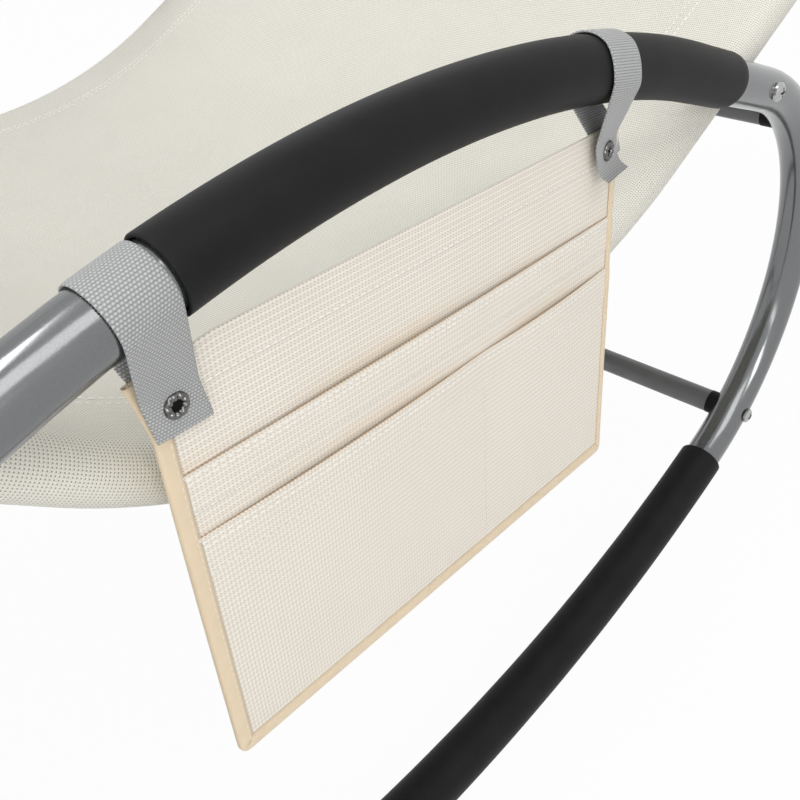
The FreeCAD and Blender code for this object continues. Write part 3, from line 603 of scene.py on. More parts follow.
MATERIALS = {
    "frame_paint": make_frame_paint(),
    "bar_paint": make_bar_paint(),
    "foam": make_foam(),
    "saddle_plastic": make_plastic("saddle_plastic", (0.006, 0.006, 0.0062), 0.55, 0.12),
    "cap_plastic": make_plastic("cap_plastic", (0.02, 0.02, 0.021), 0.4),
    "screw_steel": make_screw_steel(),
    "stud_nickel": make_stud_nickel(),
    # stud_dark is painted shade: the near-black colour of the press studs' closed eye stands in for the
    # hole.
    "stud_dark": make_plastic("stud_dark", (0.004, 0.004, 0.0042), 0.5, 0.08),
    "sling_weave": make_sling_weave(),
    "pocket_mesh": make_pocket_mesh(),
    "pocket_tape": make_pocket_tape(),
    "webbing": make_webbing(),
}
THREAD = make_thread("thread", (0.94, 0.92, 0.87))
EDGE_THREAD = make_thread("edge_thread", (0.50, 0.33, 0.19))
TAPE_THREAD = make_thread("tape_thread", (0.80, 0.70, 0.53))
SEAM_THREAD = make_thread("seam_thread", (0.50, 0.47, 0.41))


def dress_cad_nodes():
    """Give every CAD node the material of its record slot."""
    slots = {}
    for row in frame["record"]["subparts"]:
        slots[row["node"]] = row["material_slot"]
    for name, node in frame["nodes"].items():
        material = MATERIALS[slots[name]]
        if not node.data.materials:
            node.data.materials.append(material)
        for index in range(len(node.material_slots)):
            node.material_slots[index].material = material


# Foam sleeves

def loop_at(distances):
    """Places along the loop, counted from the middle of the arm, either way."""
    total = route_length(LOOP_PIECES)
    return route(LOOP_TOP, LOOP_PIECES, np.mod(distances, total))


def sleeve_stations(first, last, radius):
    """Distances and radii along a foam sleeve, from inside one end to inside the other."""
    bend = np.linspace(0.0, math.pi / 2, 5)
    rim_in = radius - FOAM_RIM + FOAM_RIM * np.sin(bend)
    rim_at = FOAM_RIM * (1 - np.cos(bend))
    body = np.linspace(first + FOAM_RIM, last - FOAM_RIM, int((last - first) / SLEEVE_STEP))
    distances = np.concatenate([
        [first + SLEEVE_INSIDE, first + SLEEVE_EDGE, first], first + rim_at, body[1:-1],
        last - rim_at[::-1], [last, last - SLEEVE_EDGE, last - SLEEVE_INSIDE],
    ])
    radii = np.concatenate([
        [FOAM_BORE, FOAM_BORE, FOAM_BORE + SLEEVE_EDGE], rim_in, np.full(len(body) - 2, radius),
        rim_in[::-1], [FOAM_BORE + SLEEVE_EDGE, FOAM_BORE, FOAM_BORE],
    ])
    return distances, radii


def make_foam_piece(name, side, first, last, radius):
    """A foam sleeve round the loop, pressed flat where it meets the floor."""
    distances, radii = sleeve_stations(first, last, radius)
    places = loop_at(distances)
    around = np.linspace(0.0, 2 * math.pi, SLEEVE_SIDES, endpoint=False)
    x, z, heading = places[:, 0:1], places[:, 1:2], places[:, 2:3]
    waves = ripple(distances[:, None] * 18.0, around[None, :] * 2.0, 1.3 + side)
    outside = radii[:, None] > FOAM_BORE + SLEEVE_EDGE
    reach = radii[:, None] * np.where(outside, 1.0 + FOAM_SWELL * waves, 1.0)
    lift = reach * np.cos(around)[None, :]
    points = np.stack([
        x - lift * np.sin(heading),
        side * LOOP_Y + reach * np.sin(around)[None, :],
        np.maximum(z + lift * np.cos(heading), 0.0),
    ], axis=-1)
    uv = paired(distances[:, None], around[None, :] * radius)
    piece = build_grid(name + "_skin", points, uv, MATERIALS["foam"], "frame", wrap=True)
    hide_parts(name)


def make_foam_pieces():
    """The arm and rocker sleeves of both loops."""
    half = route_length(LOOP_PIECES) / 2
    for name, side in (("left", -1), ("right", 1)):
        make_foam_piece(name + "_arm_foam", side, -ARM_FOAM_FRONT, ARM_FOAM_REAR, ARM_FOAM_R)
        first, last = half - ROCKER_FOAM_HALF, half + ROCKER_FOAM_HALF
        make_foam_piece(name + "_rocker_foam", side, first, last, ROCKER_FOAM_R)


# Stitches

def stitch(spots, out, radius):
    """Points of one stitch: a half round over four spots, thin at both ends."""
    across = np.cross(spots[-1] - spots[0], out)
    across /= np.linalg.norm(across)
    points = []
    for spot, size in zip(spots, (THREAD_END, 1.0, 1.0, THREAD_END)):
        for angle in np.radians((0.0, 60.0, 120.0, 180.0)):
            offset = across * math.cos(angle) * THREAD_FLAT + out * math.sin(angle)
            points.append(spot + offset * radius * size)
    return points


def stitch_rows(name, rows, body, size=STITCH, thread=THREAD):
    """Rows of short raised thread stitches. Each row holds its points and their normals."""
    length, gap, radius = size
    points = []
    faces = []
    shares = np.array([0.0, 0.25, 0.75, 1.0])
    for line, normals in rows:
        distances = along(line)
        for k in range(int(distances[-1] / (length + gap))):
            start = k * (length + gap)
            spots = between(start + length * shares, distances, line)
            first = len(points)
            points += stitch(spots, between(start, distances, normals), radius)
            for i in range(3):
                for j in range(3):
                    a = first + i * 4 + j
                    faces.append((a, a + 1, a + 5, a + 4))
    uv = np.zeros((len(points), 2))
    return build(name, np.array(points), faces, uv, thread, body)


# Sling

def rail_start():
    """The rail's foot end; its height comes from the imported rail."""
    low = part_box("left_leg_rail")[0]
    angle = math.radians(FOOT_ANGLE)
    return (RAIL_FOOT_X, low.z + RAIL_R * math.cos(angle), angle)


def sling_profile():
    """Half of the sling's cross-section, from its middle to the seam under the rail's inner side."""
    radius = RAIL_R + SLEEVE_GAP + FABRIC / 2
    seam_y = RAIL_Y - SEAM_INSET
    points = []
    for y in np.linspace(0.0, seam_y, 26):
        points.append((y, radius - SLING_SAG * (1 - (y / seam_y) ** 2)))
    for y in np.linspace(seam_y, RAIL_Y, 6)[1:]:
        points.append((y, radius))
    skirt = (seam_y, radius - SKIRT_DROP)
    dy, dz = skirt[0] - RAIL_Y, skirt[1]
    end = math.atan2(dz, dy) + math.acos(radius / math.hypot(dy, dz)) - 2 * math.pi
    for angle in np.linspace(math.pi / 2, end, 20)[1:]:
        points.append((RAIL_Y + radius * math.cos(angle), radius * math.sin(angle)))
    last = points[-1]
    for share in np.linspace(0.0, 1.0, 6)[1:]:
        points.append((last[0] + (skirt[0] - last[0]) * share, last[1] + (skirt[1] - last[1]) * share))
    return np.array(points)


def sling_points(places, profile):
    """Carry the profile along the rails, with small puckers near the seams and soft waves between."""
    x, z, heading = (places[:, i][:, None] for i in range(3))
    y, height = profile[:, 0][None, :], profile[:, 1][None, :]
    distance = np.linspace(0.0, 1.0, len(places))[:, None] * 60.0
    seam_y = RAIL_Y - SEAM_INSET
    near_seam = np.exp(-((np.abs(y) - seam_y) / PUCKER_REACH) ** 2)
    inner = np.clip(1 - (np.abs(y) / seam_y) ** 4, 0.0, 1.0)
    pucker = SLING_PUCKER * near_seam * ripple(distance * 2.6, y * 8.0, SLING_SEED)
    wave = SLING_WAVE * inner * ripple(distance * 0.35, y * 14.0, SLING_SEED + 2.0)
    n = height + pucker + wave
    return np.stack([x - n * np.sin(heading), y + 0 * x, z + n * np.cos(heading)], axis=-1)


def make_sling():
    """The woven sling, an edge sleeve round each rail, with its seams."""
    total = route_length(RAIL_PIECES)
    distances = np.arange(SLING_END_INSET, total - SLING_END_INSET, SLING_STEP)
    distances = np.append(distances, total - SLING_END_INSET)
    places = route(rail_start(), RAIL_PIECES, distances)
    half = sling_profile()
    mirrored = half[::-1] * np.array([-1.0, 1.0])
    profile = np.concatenate([mirrored[:-1], half])
    points = sling_points(places, profile)
    width = along(profile)
    uv = paired(distances[:, None], width[None, :])
    sling = build_grid("sling_cloth", points, uv, MATERIALS["sling_weave"], "frame")
    thicken(sling, FABRIC)
    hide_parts("sling")
    seams = make_sling_seams(places)


def make_sling_seams(places):
    """Two stitch rows along each edge sleeve and one across each end hem."""
    rows = []
    top = RAIL_R + SLEEVE_GAP + FABRIC + SEAM_LIFT
    heading = places[:, 2]
    up = np.stack([-np.sin(heading), 0 * heading, np.cos(heading)], axis=-1)
    for side in (-1, 1):
        for inset in SEAM_ROWS:
            y = side * (RAIL_Y - SEAM_INSET - inset)
            line = sling_points(places, np.array([[y, top]]))[:, 0, :]
            rows.append((line, up))
    for index in (END_ROW, len(places) - 1 - END_ROW):
        ys = np.linspace(-RAIL_Y + SEAM_INSET, RAIL_Y - SEAM_INSET, 60)
        sag = SLING_SAG * (1 - (ys / (RAIL_Y - SEAM_INSET)) ** 2)
        line = sling_points(places, np.stack([ys, top - sag], axis=-1))[index]
        rows.append((line, np.tile(up[index], (len(ys), 1))))
    return stitch_rows("sling_stitches", rows, "frame", SLING_STITCH)


# Straps

def arm_height(x):
    """Height of the arm tube's middle line."""
    return LOOP_TOP[1] - ARM_RADIUS + math.sqrt(ARM_RADIUS ** 2 - x ** 2)


def tangent_angle(outside, centre, radius, turn):
    """Angle on a circle where a line from a point touches it."""
    dy = outside[0] - centre[0]
    dz = outside[1] - centre[1]
    return math.atan2(dz, dy) + turn * math.acos(radius / math.hypot(dy, dz))


def strap_line(name):
    """Middle line of a strap in its own plane, from its outer tail over the arm to its inner tail."""
    x = STRAP_X[name]
    arm_r = ARM_FOAM_R if x > -ARM_FOAM_FRONT else LOOP_R
    radius = arm_r + STRAP_GAP + STRAP_SLACK + WEBBING / 2
    centre = (0.0, -STRAP_SLACK)
    front_y = -OUTER_TAIL - WEBBING / 2
    back_y = INNER_TAIL + WEBBING / 2
    front_fold = (front_y, -STRAP_FLAT)
    back_fold = (back_y, -STRAP_FLAT)
    line = tail_line(front_y, STRAP_TAIL[name], math.radians(STRAP_CURL[name]))
    line.append(front_fold)
    start = tangent_angle(front_fold, centre, radius, -1) + 2 * math.pi
    end = tangent_angle(back_fold, centre, radius, 1)
    for angle in np.linspace(start, end, 40):
        line.append((centre[0] + radius * math.cos(angle), centre[1] + radius * math.sin(angle)))
    line.append(back_fold)
    line.append((back_y, -SEWN_TAIL))
    return np.array(line)


def tail_line(y, length, curl):
    """The outer tail from its tip up to the stud, curled away from the panel."""
    if not curl:
        return [(y, -length)]
    bend_at = STUD_DROP + STUD_R
    radius = (length - bend_at) / curl
    turns = np.linspace(curl, 0.0, 14)
    return [(y - radius * (1 - math.cos(t)), -bend_at - radius * math.sin(t)) for t in turns]


def rounded(line, passes):
    """The same line with its folds eased, its ends kept."""
    for _ in range(passes):
        line[1:-1] = line[1:-1] * 0.5 + (line[:-2] + line[2:]) * 0.25
    return line


def evenly(line, step):
    """The same line with points at equal steps, and their distances along it."""
    distances = along(line)
    at = np.linspace(0.0, distances[-1], int(distances[-1] / step) + 1)
    return between(at, distances, line), at


def webbing_outline():
    """The webbing's cross-section with rounded selvedges, as shares of its half width and thickness."""
    width = (-1.0, -0.97, -0.9, -0.45, 0.0, 0.45, 0.9, 0.97, 1.0)
    crown = (0.0, 0.62, 0.92, 1.0, 1.0, 1.0, 0.92, 0.62, 0.0)
    outer = list(zip(width, crown))
    return outer + [(w, -c) for w, c in outer[-2:0:-1]]


def strap_angles(name, line):
    """Lean of a strap along its line, and the turn and twist of its width, square to the arm above."""
    drop = -line[:, 1]
    outside = line[:, 0] < 0
    below = np.clip((drop + np.where(outside, LEAN_ABOVE, 0.0)) / LEAN_REACH, 0.0, 1.0)
    level = np.clip((drop - TURN_FROM) / TURN_REACH, 0.0, 1.0)
    slope = -math.asin(STRAP_X[name] / ARM_RADIUS)
    hanging = np.radians(STRAP_LEAN[name] + INNER_LEAN[name] * ~outside)
    lean = slope * (1 - below) + hanging * below
    turn = slope * (1 - level)
    twist = math.radians(STRAP_TWIST[name]) * level * outside
    return lean, turn, twist


def make_strap(name):
    """A webbing strap that lies over the arm above and hangs at a lean down to the pocket below."""
    line, at = evenly(strap_line(name), WEBBING_PICK / 4)
    line = rounded(line, STRAP_EASING)
    tangent = np.gradient(line, axis=0)
    tangent /= np.linalg.norm(tangent, axis=1)[:, None]
    normal = np.stack([tangent[:, 1], -tangent[:, 0]], axis=-1)
    lean, turn, twist = strap_angles(name, line)
    level = np.cos(twist)
    across = np.stack([np.cos(turn) * level, np.sin(twist), np.sin(turn) * level], axis=-1)
    place = np.array([STRAP_X[name], POCKET_Y, arm_height(STRAP_X[name])])
    selvedge = SELVEDGE_LOOP * np.cos(at * 2 * math.pi / WEBBING_PICK)
    columns = []
    uvs = []
    for share, crown in webbing_outline():
        flat = line + normal * (crown * WEBBING / 2)
        y, z = flat[:, 0], flat[:, 1]
        column = place + np.stack([-z * np.sin(lean), y, z * np.cos(lean)], axis=-1)
        w = share * WEBBING_WIDTH / 2
        shift = w + np.sign(w) * selvedge * (abs(share) > SELVEDGE_FROM)
        columns.append(column + across * shift[:, None])
        uvs.append(paired(w, at))
    points = np.stack(columns, axis=1)
    uv = np.stack(uvs, axis=1)
    rows, count = points.shape[:2]
    faces = grid_faces(rows, count, wrap=True)
    faces.append(tuple(range(count - 1, -1, -1)))
    faces.append(tuple(range((rows - 1) * count, rows * count)))
    piece = build(
        name + "_webbing", points.reshape(-1, 3), faces, uv.reshape(-1, 2),
        MATERIALS["webbing"], None)
    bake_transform(piece)
    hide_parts(name + "_strap")


# Press-stud caps

def make_stud_cap(name):
    """A crimped metal ring whose recessed eye is closed by a disc painted near black as the shade of
    its hole, on the outer tail of a strap.
    """
    lean = math.radians(STRAP_LEAN[name])
    twist = math.radians(STRAP_TWIST[name])
    centre = np.array([
        STRAP_X[name] + STUD_DROP * math.sin(lean), POCKET_Y - OUTER_TAIL - WEBBING,
        arm_height(STRAP_X[name]) - STUD_DROP * math.cos(lean),
    ])
    out = np.array([math.sin(twist), -math.cos(twist), 0.0])
    side = np.array([math.cos(twist), math.sin(twist), 0.0])
    up = np.array([0.0, 0.0, 1.0])
    turns = np.linspace(0.0, 2 * math.pi, STUD_POINTS, endpoint=False)
    fold = -np.abs(np.cos(turns * STUD_PETALS / 2)) ** 3
    rows = []
    for share, rise, crimp in STUD_PROFILE:
        radius = STUD_R * share * (1 + STUD_SCALLOP * crimp * fold)
        height = STUD_RISE * (rise + STUD_CRIMP * crimp * fold)
        ring = np.outer(radius * np.cos(turns), side) + np.outer(radius * np.sin(turns), up)
        rows.append(centre + np.outer(height, out) + ring)
    points = np.concatenate(rows)
    faces = grid_faces(len(rows), STUD_POINTS, wrap=True)
    faces.append(tuple(range(len(points) - STUD_POINTS, len(points))))
    uv = np.zeros((len(points), 2))
    nickel = MATERIALS["stud_nickel"]
    cap = build(name + "_stud_cap", points, faces, uv, nickel, "pocket")
    # The eye is a closed disc painted near black: painted shade standing in for the hole.
    cap.data.materials.append(MATERIALS["stud_dark"])
    eye = (len(rows) - 3) * STUD_POINTS
    for face in cap.data.polygons[eye:]:
        face.material_index = 1
    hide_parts("press_stud_caps")


# Pocket

def bow(x, low, high):
    """A bow between two held lines: 0 at both, 1 halfway."""
    return np.clip(1 - ((2 * x - low - high) / (high - low)) ** 2, 0.0, 1.0)


def climb(z, mouth):
    """0 at the bottom tape, 1 at a mouth and a little more above it."""
    foot = POCKET_BOTTOM + BINDING_WIDTH
    return np.clip((z - foot) / (mouth - foot), 0.0, PAST_END)


def upper_bow(x, z):
    """How far the inner front stands out from the panel."""
    return UPPER_BULGE * bow(x, POUCH_FRONT_X, POUCH_REAR_X) * climb(z, MOUTH_UPPER)


def lower_bow(x, z):
    """How far the outer front stands out: two bows, held down at the divider seam."""
    bows = np.maximum(bow(x, POUCH_FRONT_X, DIVIDER_X), bow(x, DIVIDER_X, POUCH_REAR_X))
    return upper_bow(x, z) + (LOWER_BULGE - UPPER_BULGE) * bows * climb(z, MOUTH_LOWER)


def hung(points):
    """Let the pocket's foot hang out and a little to the rear, and its front top corner flare."""
    x, z = points[..., 0], points[..., 2]
    share = np.clip((HANG_FROM - z) / (HANG_FROM - POCKET_BOTTOM), 0.0, PAST_END) ** HANG_EASE
    aside = (2 * x - POCKET_FRONT_X - POCKET_REAR_X) / (POCKET_REAR_X - POCKET_FRONT_X)
    moved = points.copy()
    moved[..., 0] += share * (HANG_SIDE - HANG_SKEW * aside) - HANG_NARROW * np.clip(aside, 0.0, 1.0)
    moved[..., 1] -= share * HANG_OUT
    moved[..., 2] += share * (HANG_LIFT - HANG_TILT * aside)
    lift = np.clip((z - CORNER_FROM) / (POCKET_HEM - CORNER_FROM), 0.0, PAST_END) ** CORNER_EASE
    near = np.clip(1 - (x - POCKET_FRONT_X) / CORNER_WIDTH, 0.0, PAST_END)
    moved[..., 0] -= CORNER_FLARE * lift * near
    moved[..., 2] -= CORNER_DROP * lift * near
    return moved


def pocket_sheet(name, top, y_at):
    """A mesh layer between the bindings, up to a height, at a depth that y_at gives."""
    xs = np.linspace(POCKET_FRONT_X + SHEET_EDGE, POCKET_REAR_X - SHEET_EDGE, POCKET_COLUMNS)
    zs = np.linspace(POCKET_BOTTOM + SHEET_EDGE, top, int((top - POCKET_BOTTOM) / POCKET_STEP))
    x, z = np.meshgrid(xs, zs)
    points = np.stack([x, y_at(x, z), z], axis=-1)
    uv = np.stack([x, z], axis=-1)
    piece = build_grid(name, hung(points), uv, MATERIALS["pocket_mesh"], "pocket")
    thicken(piece, MESH)
    return piece


def panel_y(x, z):
    """Depth of the back panel, slightly uneven."""
    return POCKET_Y + PANEL_WAVE * ripple(x * 22.0, z * 26.0, 3.1)


def upper_y(x, z):
    """Depth of the upper pouch's cloth."""
    return POCKET_Y - PANEL / 2 - MESH / 2 - upper_bow(x, z)


def lower_y(x, z):
    """Depth of the lower pouch's cloth."""
    return POCKET_Y - PANEL / 2 - MESH * 1.5 - LAYER_GAP - lower_bow(x, z)


def hem_strip(name, top, height, y_at, rise):
    """The double cloth of a hem along a free edge, a little proud of the single cloth below it."""
    xs = np.linspace(POCKET_FRONT_X + HEM_END, POCKET_REAR_X - HEM_END, POCKET_COLUMNS)
    steps = [(top - height, 0.0), (top - height, rise * 0.8), (top - height + HEM_EDGE, rise)]
    steps += [(top - share * height, rise) for share in (0.75, 0.5, 0.25)]
    steps += [(top + above, rise * share) for above, share in HEM_CREST]
    points = []
    uv = []
    for height_at, out in steps:
        z = np.full_like(xs, height_at)
        points.append(np.stack([xs, y_at(xs, z) - out, z], axis=-1))
        uv.append(paired(xs + HEM_YARN_SHIFT, z))
    points = hung(np.stack(points))
    return build_grid(name, points, np.stack(uv), MATERIALS["pocket_mesh"], "pocket")


def front_row(x, y, z):
    """A stitch row on the pocket's front, hung like the cloth, with its normals."""
    line = hung(np.stack(np.broadcast_arrays(x, y, z), axis=-1))
    return line, np.tile([0.0, -1.0, 0.0], (len(line), 1))


def pocket_stitches():
    """Twin rows below each mouth, a hem row further down, and the top hem's row."""
    rows = []
    xs = np.linspace(POUCH_FRONT_X, POUCH_REAR_X, 90)
    for top, y_at in ((MOUTH_UPPER, upper_y), (MOUTH_LOWER, lower_y)):
        for drop in MOUTH_ROWS:
            z = np.full_like(xs, top - drop)
            rows.append(front_row(xs, y_at(xs, z) - MESH / 2 - STITCH_LIFT, z))
    z = np.full_like(xs, POCKET_HEM - TOP_HEM_ROW)
    rows.append(front_row(xs, panel_y(xs, z) - PANEL / 2 - TOP_HEM_LIFT, z))
    return stitch_rows("pocket_stitches", rows, "pocket")


def divider_stitches():
    """A row a little darker than the cloth, down the middle of the lower pouch."""
    zs = np.linspace(MOUTH_LOWER - SHEET_EDGE, POCKET_BOTTOM + BINDING_WIDTH, 60)
    row = front_row(DIVIDER_X, lower_y(DIVIDER_X, zs) - MESH / 2, zs)
    return stitch_rows("divider_stitches", [row], "pocket", thread=SEAM_THREAD)


def tape_stitches():
    """One row along the inner edge of the tape, down each side and across the bottom."""
    zs = np.linspace(POCKET_BOTTOM + TAPE_ROW_FROM, POCKET_HEM - HEM_END, 80)
    y = POCKET_Y - binding_depths(zs)[0] - STITCH_LIFT
    rows = [
        front_row(POCKET_FRONT_X + BINDING_WIDTH - TAPE_ROW_FRONT, y, zs),
        front_row(POCKET_REAR_X - BINDING_WIDTH * REAR_TAPE + TAPE_ROW_REAR, y, zs),
    ]
    xs = np.linspace(POCKET_FRONT_X + TAPE_ROW_FROM, POCKET_REAR_X - TAPE_ROW_FROM, 120)
    z = POCKET_BOTTOM + BINDING_WIDTH - TAPE_ROW_LOW
    rows.append(front_row(xs, POCKET_Y - binding_depths(z)[0] - STITCH_LIFT, z))
    return stitch_rows("tape_stitches", rows, "pocket", thread=TAPE_THREAD)


def mouth_threads():
    """A fine brown overcast thread along each pouch mouth."""
    rows = []
    xs = np.linspace(POCKET_FRONT_X + MOUTH_END, POCKET_REAR_X - MOUTH_END, 150)
    for top, y_at in ((MOUTH_UPPER, upper_y), (MOUTH_LOWER, lower_y)):
        z = np.full_like(xs, top + STITCH_LIFT)
        line = np.stack([xs, y_at(xs, z), z], axis=-1)
        rows.append((hung(line), np.tile([0.0, -0.5, 0.85], (len(xs), 1))))
    return stitch_rows("mouth_threads", rows, "pocket", MOUTH_STITCH, EDGE_THREAD)


def binding_depths(z):
    """Front and back faces of the folded tape at a height."""
    layers = sum(np.clip((mouth - z) / LAYER_EASE, 0.0, 1.0) for mouth in (MOUTH_LOWER, MOUTH_UPPER))
    return PANEL / 2 + layers * MESH + BINDING, PANEL / 2 + BINDING


def tape_corner(centre_x, side, angles):
    """Points round a bottom corner of the tape, each with its inward direction."""
    points = []
    for angle in np.radians(angles):
        x = centre_x - side * TAPE_CORNER * math.cos(angle)
        z = POCKET_BOTTOM + TAPE_CORNER * (1 - math.sin(angle))
        points.append((x, z, side * math.cos(angle), math.sin(angle)))
    return points


def binding_path():
    """Points down the front edge, along the bottom and up the rear edge, with inward directions."""
    left, right = POCKET_FRONT_X + TAPE_CORNER, POCKET_REAR_X - TAPE_CORNER
    low = POCKET_BOTTOM + TAPE_CORNER
    down = np.linspace(POCKET_HEM, low, TAPE_SIDE_POINTS)
    path = [(POCKET_FRONT_X, z, 1.0, 0.0) for z in down[:-1]]
    path += tape_corner(left, 1, np.linspace(0.0, 90.0, 7)[:-1])
    path += [(x, POCKET_BOTTOM, 0.0, 1.0) for x in np.linspace(left, right, TAPE_LOW_POINTS)[:-1]]
    path += tape_corner(right, -1, np.linspace(90.0, 0.0, 7)[:-1])
    path += [(POCKET_REAR_X, z, -1.0, 0.0) for z in np.linspace(low, POCKET_HEM, TAPE_SIDE_POINTS)]
    return np.array(path)


def binding_columns(path):
    """Inward reach, depth and cloth coordinate of each lengthwise line of the folded tape."""
    front, back = binding_depths(path[:, 1])
    wobble = TAPE_WOBBLE * ripple(np.arange(len(path)) * 0.12, np.zeros(len(path)), 5.0)
    width = BINDING_WIDTH
    columns = []
    for inward in (width, width * 0.7, width * 0.35, TAPE_LIP):
        tuck = TAPE_TUCK if inward == width else 0.0
        columns.append((inward + wobble, tuck - front, width - inward))
    for angle in np.linspace(-math.pi / 2, math.pi / 2, 7)[1:-1]:
        depth = (front if angle < 0 else back) * math.sin(angle)
        cloth = width + TAPE_FOLD + TAPE_FOLD / 2 * angle
        columns.append((-BINDING * math.cos(angle), depth, cloth))
    for inward in (TAPE_LIP, width * 0.35, width * 0.7, width):
        columns.append((inward + wobble, back, width + 2 * TAPE_FOLD + inward))
    return columns


def make_binding():
    """A tape folded round the two sides and the bottom, with soft mitred corners."""
    path = binding_path()
    near_rear = np.clip((path[:, 0] - POCKET_REAR_X + REAR_TAPER) / REAR_TAPER, 0.0, 1.0)
    narrow = 1 - (1 - REAR_TAPE) * near_rear
    points = []
    across = []
    for inward, depth, cloth in binding_columns(path):
        x = path[:, 0] + path[:, 2] * inward * narrow
        z = path[:, 1] + path[:, 3] * inward
        points.append(np.stack([x, POCKET_Y + depth + 0 * x, z], axis=-1))
        across.append(cloth)
    points = hung(np.stack(points, axis=1))
    uv = paired(along(path[:, :2])[:, None], np.array(across)[None, :])
    tape = build_grid("pocket_tape", points, uv, MATERIALS["pocket_tape"], "pocket")
    thicken(tape, TAPE_CLOTH)
    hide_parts("pocket_binding")
    return tape


def make_pocket():
    """The panel, two bowed fronts, their hems, the tape and the stitches."""
    panel = pocket_sheet("panel_cloth", POCKET_HEM, panel_y)
    upper = pocket_sheet("upper_pouch_cloth", MOUTH_UPPER, upper_y)
    lower = pocket_sheet("lower_pouch_cloth", MOUTH_LOWER, lower_y)
    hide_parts("pocket_panel")
    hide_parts("pocket_upper_pouch")
    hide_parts("pocket_lower_pouch")
    top_hem = hem_strip("panel_hem", POCKET_HEM, TOP_HEM, panel_y, TOP_HEM_RISE)
    upper_hem = hem_strip("upper_hem", MOUTH_UPPER, MOUTH_HEM, upper_y, MOUTH_HEM_RISE)
    lower_hem = hem_strip("lower_hem", MOUTH_LOWER, MOUTH_HEM, lower_y, MOUTH_HEM_RISE)
    tape = make_binding()
    seams = [pocket_stitches(), divider_stitches(), tape_stitches(), mouth_threads()]


# Stage

def make_camera():
    """The camera of the photograph."""
    data = bpy.data.cameras.new("photo_camera")
    data.lens = CAMERA_LENS
    data.sensor_width = SENSOR
    data.clip_start = 0.01
    camera = bpy.data.objects.new("photo_camera", data)
    bpy.context.scene.collection.objects.link(camera)
    camera.rotation_mode = "QUATERNION"
    aim = Vector(CAMERA_AIM).to_track_quat("-Z", "Y")
    camera.rotation_quaternion = aim @ Quaternion((0.0, 0.0, 1.0), math.radians(CAMERA_ROLL))
    camera.location = CAMERA_PLACE
    bpy.context.scene.camera = camera


def camera_sees(tree):
    """1 for rays that come from the camera or by way of glossy or clear surfaces."""
    path = tree.nodes.new("ShaderNodeLightPath")
    seen = path.outputs["Is Camera Ray"]
    for kind in ("Is Glossy Ray", "Is Transmission Ray"):
        add = tree.nodes.new("ShaderNodeMath")
        add.operation = "ADD"
        add.use_clamp = True
        tree.links.new(seen, add.inputs[0])
        tree.links.new(path.outputs[kind], add.inputs[1])
        seen = add.outputs[0]
    return seen


def show_mix(tree, factor, first, second, output):
    """Mix two shaders and link them to the surface of a material or the world."""
    mix = tree.nodes.new("ShaderNodeMixShader")
    tree.links.new(factor, mix.inputs[0])
    tree.links.new(first.outputs[0], mix.inputs[1])
    tree.links.new(second.outputs[0], mix.inputs[2])
    tree.links.new(mix.outputs[0], tree.nodes[output].inputs["Surface"])


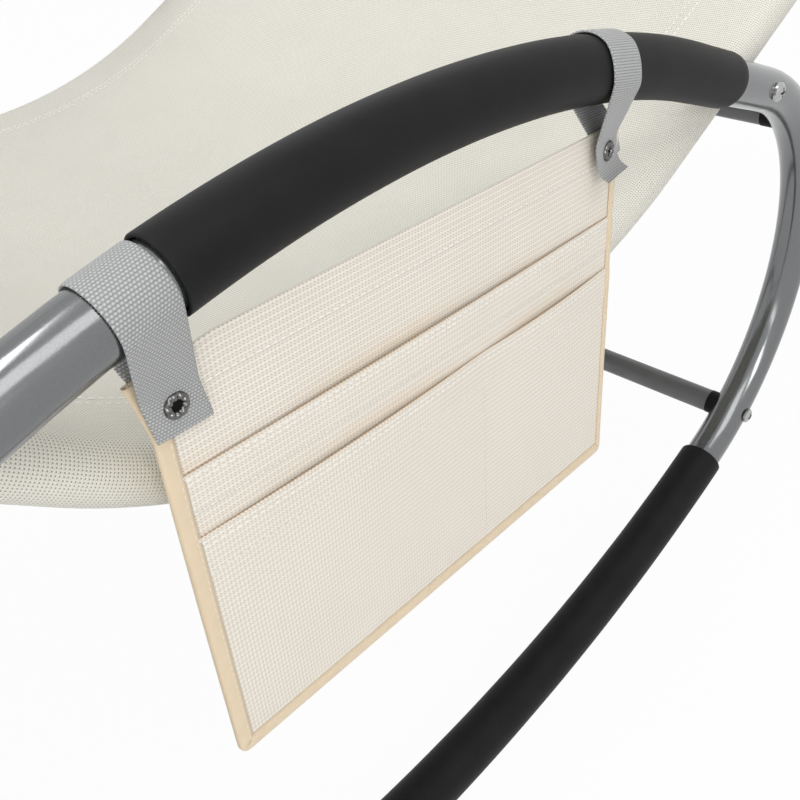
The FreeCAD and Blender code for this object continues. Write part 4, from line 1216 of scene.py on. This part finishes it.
def make_floor():
    """A pale floor that the camera sees nearly white, with the chair's soft shadow left on it."""
    mesh = bpy.data.meshes.new("floor")
    signs = ((-1, -1), (1, -1), (1, 1), (-1, 1))
    corners = [(a * FLOOR_HALF, b * FLOOR_HALF, -FLOOR_DROP) for a, b in signs]
    mesh.from_pydata(corners, [], [(0, 1, 2, 3)])
    floor = bpy.data.objects.new("floor", mesh)
    bpy.context.scene.collection.objects.link(floor)
    material = bpy.data.materials.new("floor")
    material.use_nodes = True
    tree = material.node_tree
    diffuse = tree.nodes["Principled BSDF"]
    diffuse.inputs["Base Color"].default_value = (0.86, 0.86, 0.86, 1.0)
    diffuse.inputs["Roughness"].default_value = 0.9
    glow = tree.nodes.new("ShaderNodeEmission")
    glow.inputs["Strength"].default_value = 1.0
    share = tree.nodes.new("ShaderNodeMath")
    share.operation = "MULTIPLY"
    share.inputs[1].default_value = FLOOR_GLOW
    tree.links.new(camera_sees(tree), share.inputs[0])
    show_mix(tree, share.outputs[0], diffuse, glow, "Material Output")
    mesh.materials.append(material)


def make_world():
    """Soft even light, and white where the camera sees past the floor."""
    world = bpy.data.worlds.new("studio")
    bpy.context.scene.world = world
    world.use_nodes = True
    tree = world.node_tree
    light = tree.nodes["Background"]
    light.inputs["Color"].default_value = (0.97, 0.985, 1.0, 1.0)
    light.inputs["Strength"].default_value = WORLD_LIGHT
    white = tree.nodes.new("ShaderNodeBackground")
    white.inputs["Color"].default_value = (1.0, 1.0, 1.0, 1.0)
    white.inputs["Strength"].default_value = 1.0
    show_mix(tree, camera_sees(tree), light, white, "World Output")


def add_softbox(name, place, aim, size, power):
    """A rectangular lamp at a place, aimed at a point."""
    data = bpy.data.lights.new(name, "AREA")
    data.shape = "RECTANGLE"
    data.size, data.size_y = size
    data.energy = power
    lamp = bpy.data.objects.new(name, data)
    bpy.context.scene.collection.objects.link(lamp)
    lamp.location = place
    direction = Vector(aim) - Vector(place)
    lamp.rotation_mode = "QUATERNION"
    lamp.rotation_quaternion = direction.to_track_quat("-Z", "Y")


def make_lights():
    """Large soft lamps in front, above, at the foot end and behind."""
    add_softbox("key", (-0.5, -1.6, 2.5), (0.0, -0.1, 0.4), (1.8, 1.2), 17.0)
    add_softbox("front", (-1.0, -2.2, 1.3), (0.0, -0.1, 0.4), (1.1, 0.6), 14.0)
    add_softbox("low", (-1.9, -1.5, 0.55), (-0.2, -0.2, 0.35), (1.2, 0.3), 4.0)
    add_softbox("top", (-0.7, 0.2, 2.8), (0.0, -0.1, 0.4), (0.9, 0.5), 15.0)
    add_softbox("fill", (-2.2, 0.6, 1.6), (0.0, 0.0, 0.4), (1.4, 1.4), 14.0)
    add_softbox("back", (1.8, 1.6, 2.0), (0.1, 0.0, 0.4), (1.6, 1.2), 4.5)


dress_cad_nodes()
make_foam_pieces()
make_sling()
make_strap("front")
make_strap("rear")
make_stud_cap("front")
make_stud_cap("rear")
make_pocket()
make_camera()
make_floor()
make_world()
make_lights()

bpy.context.scene.view_settings.view_transform = "Standard"
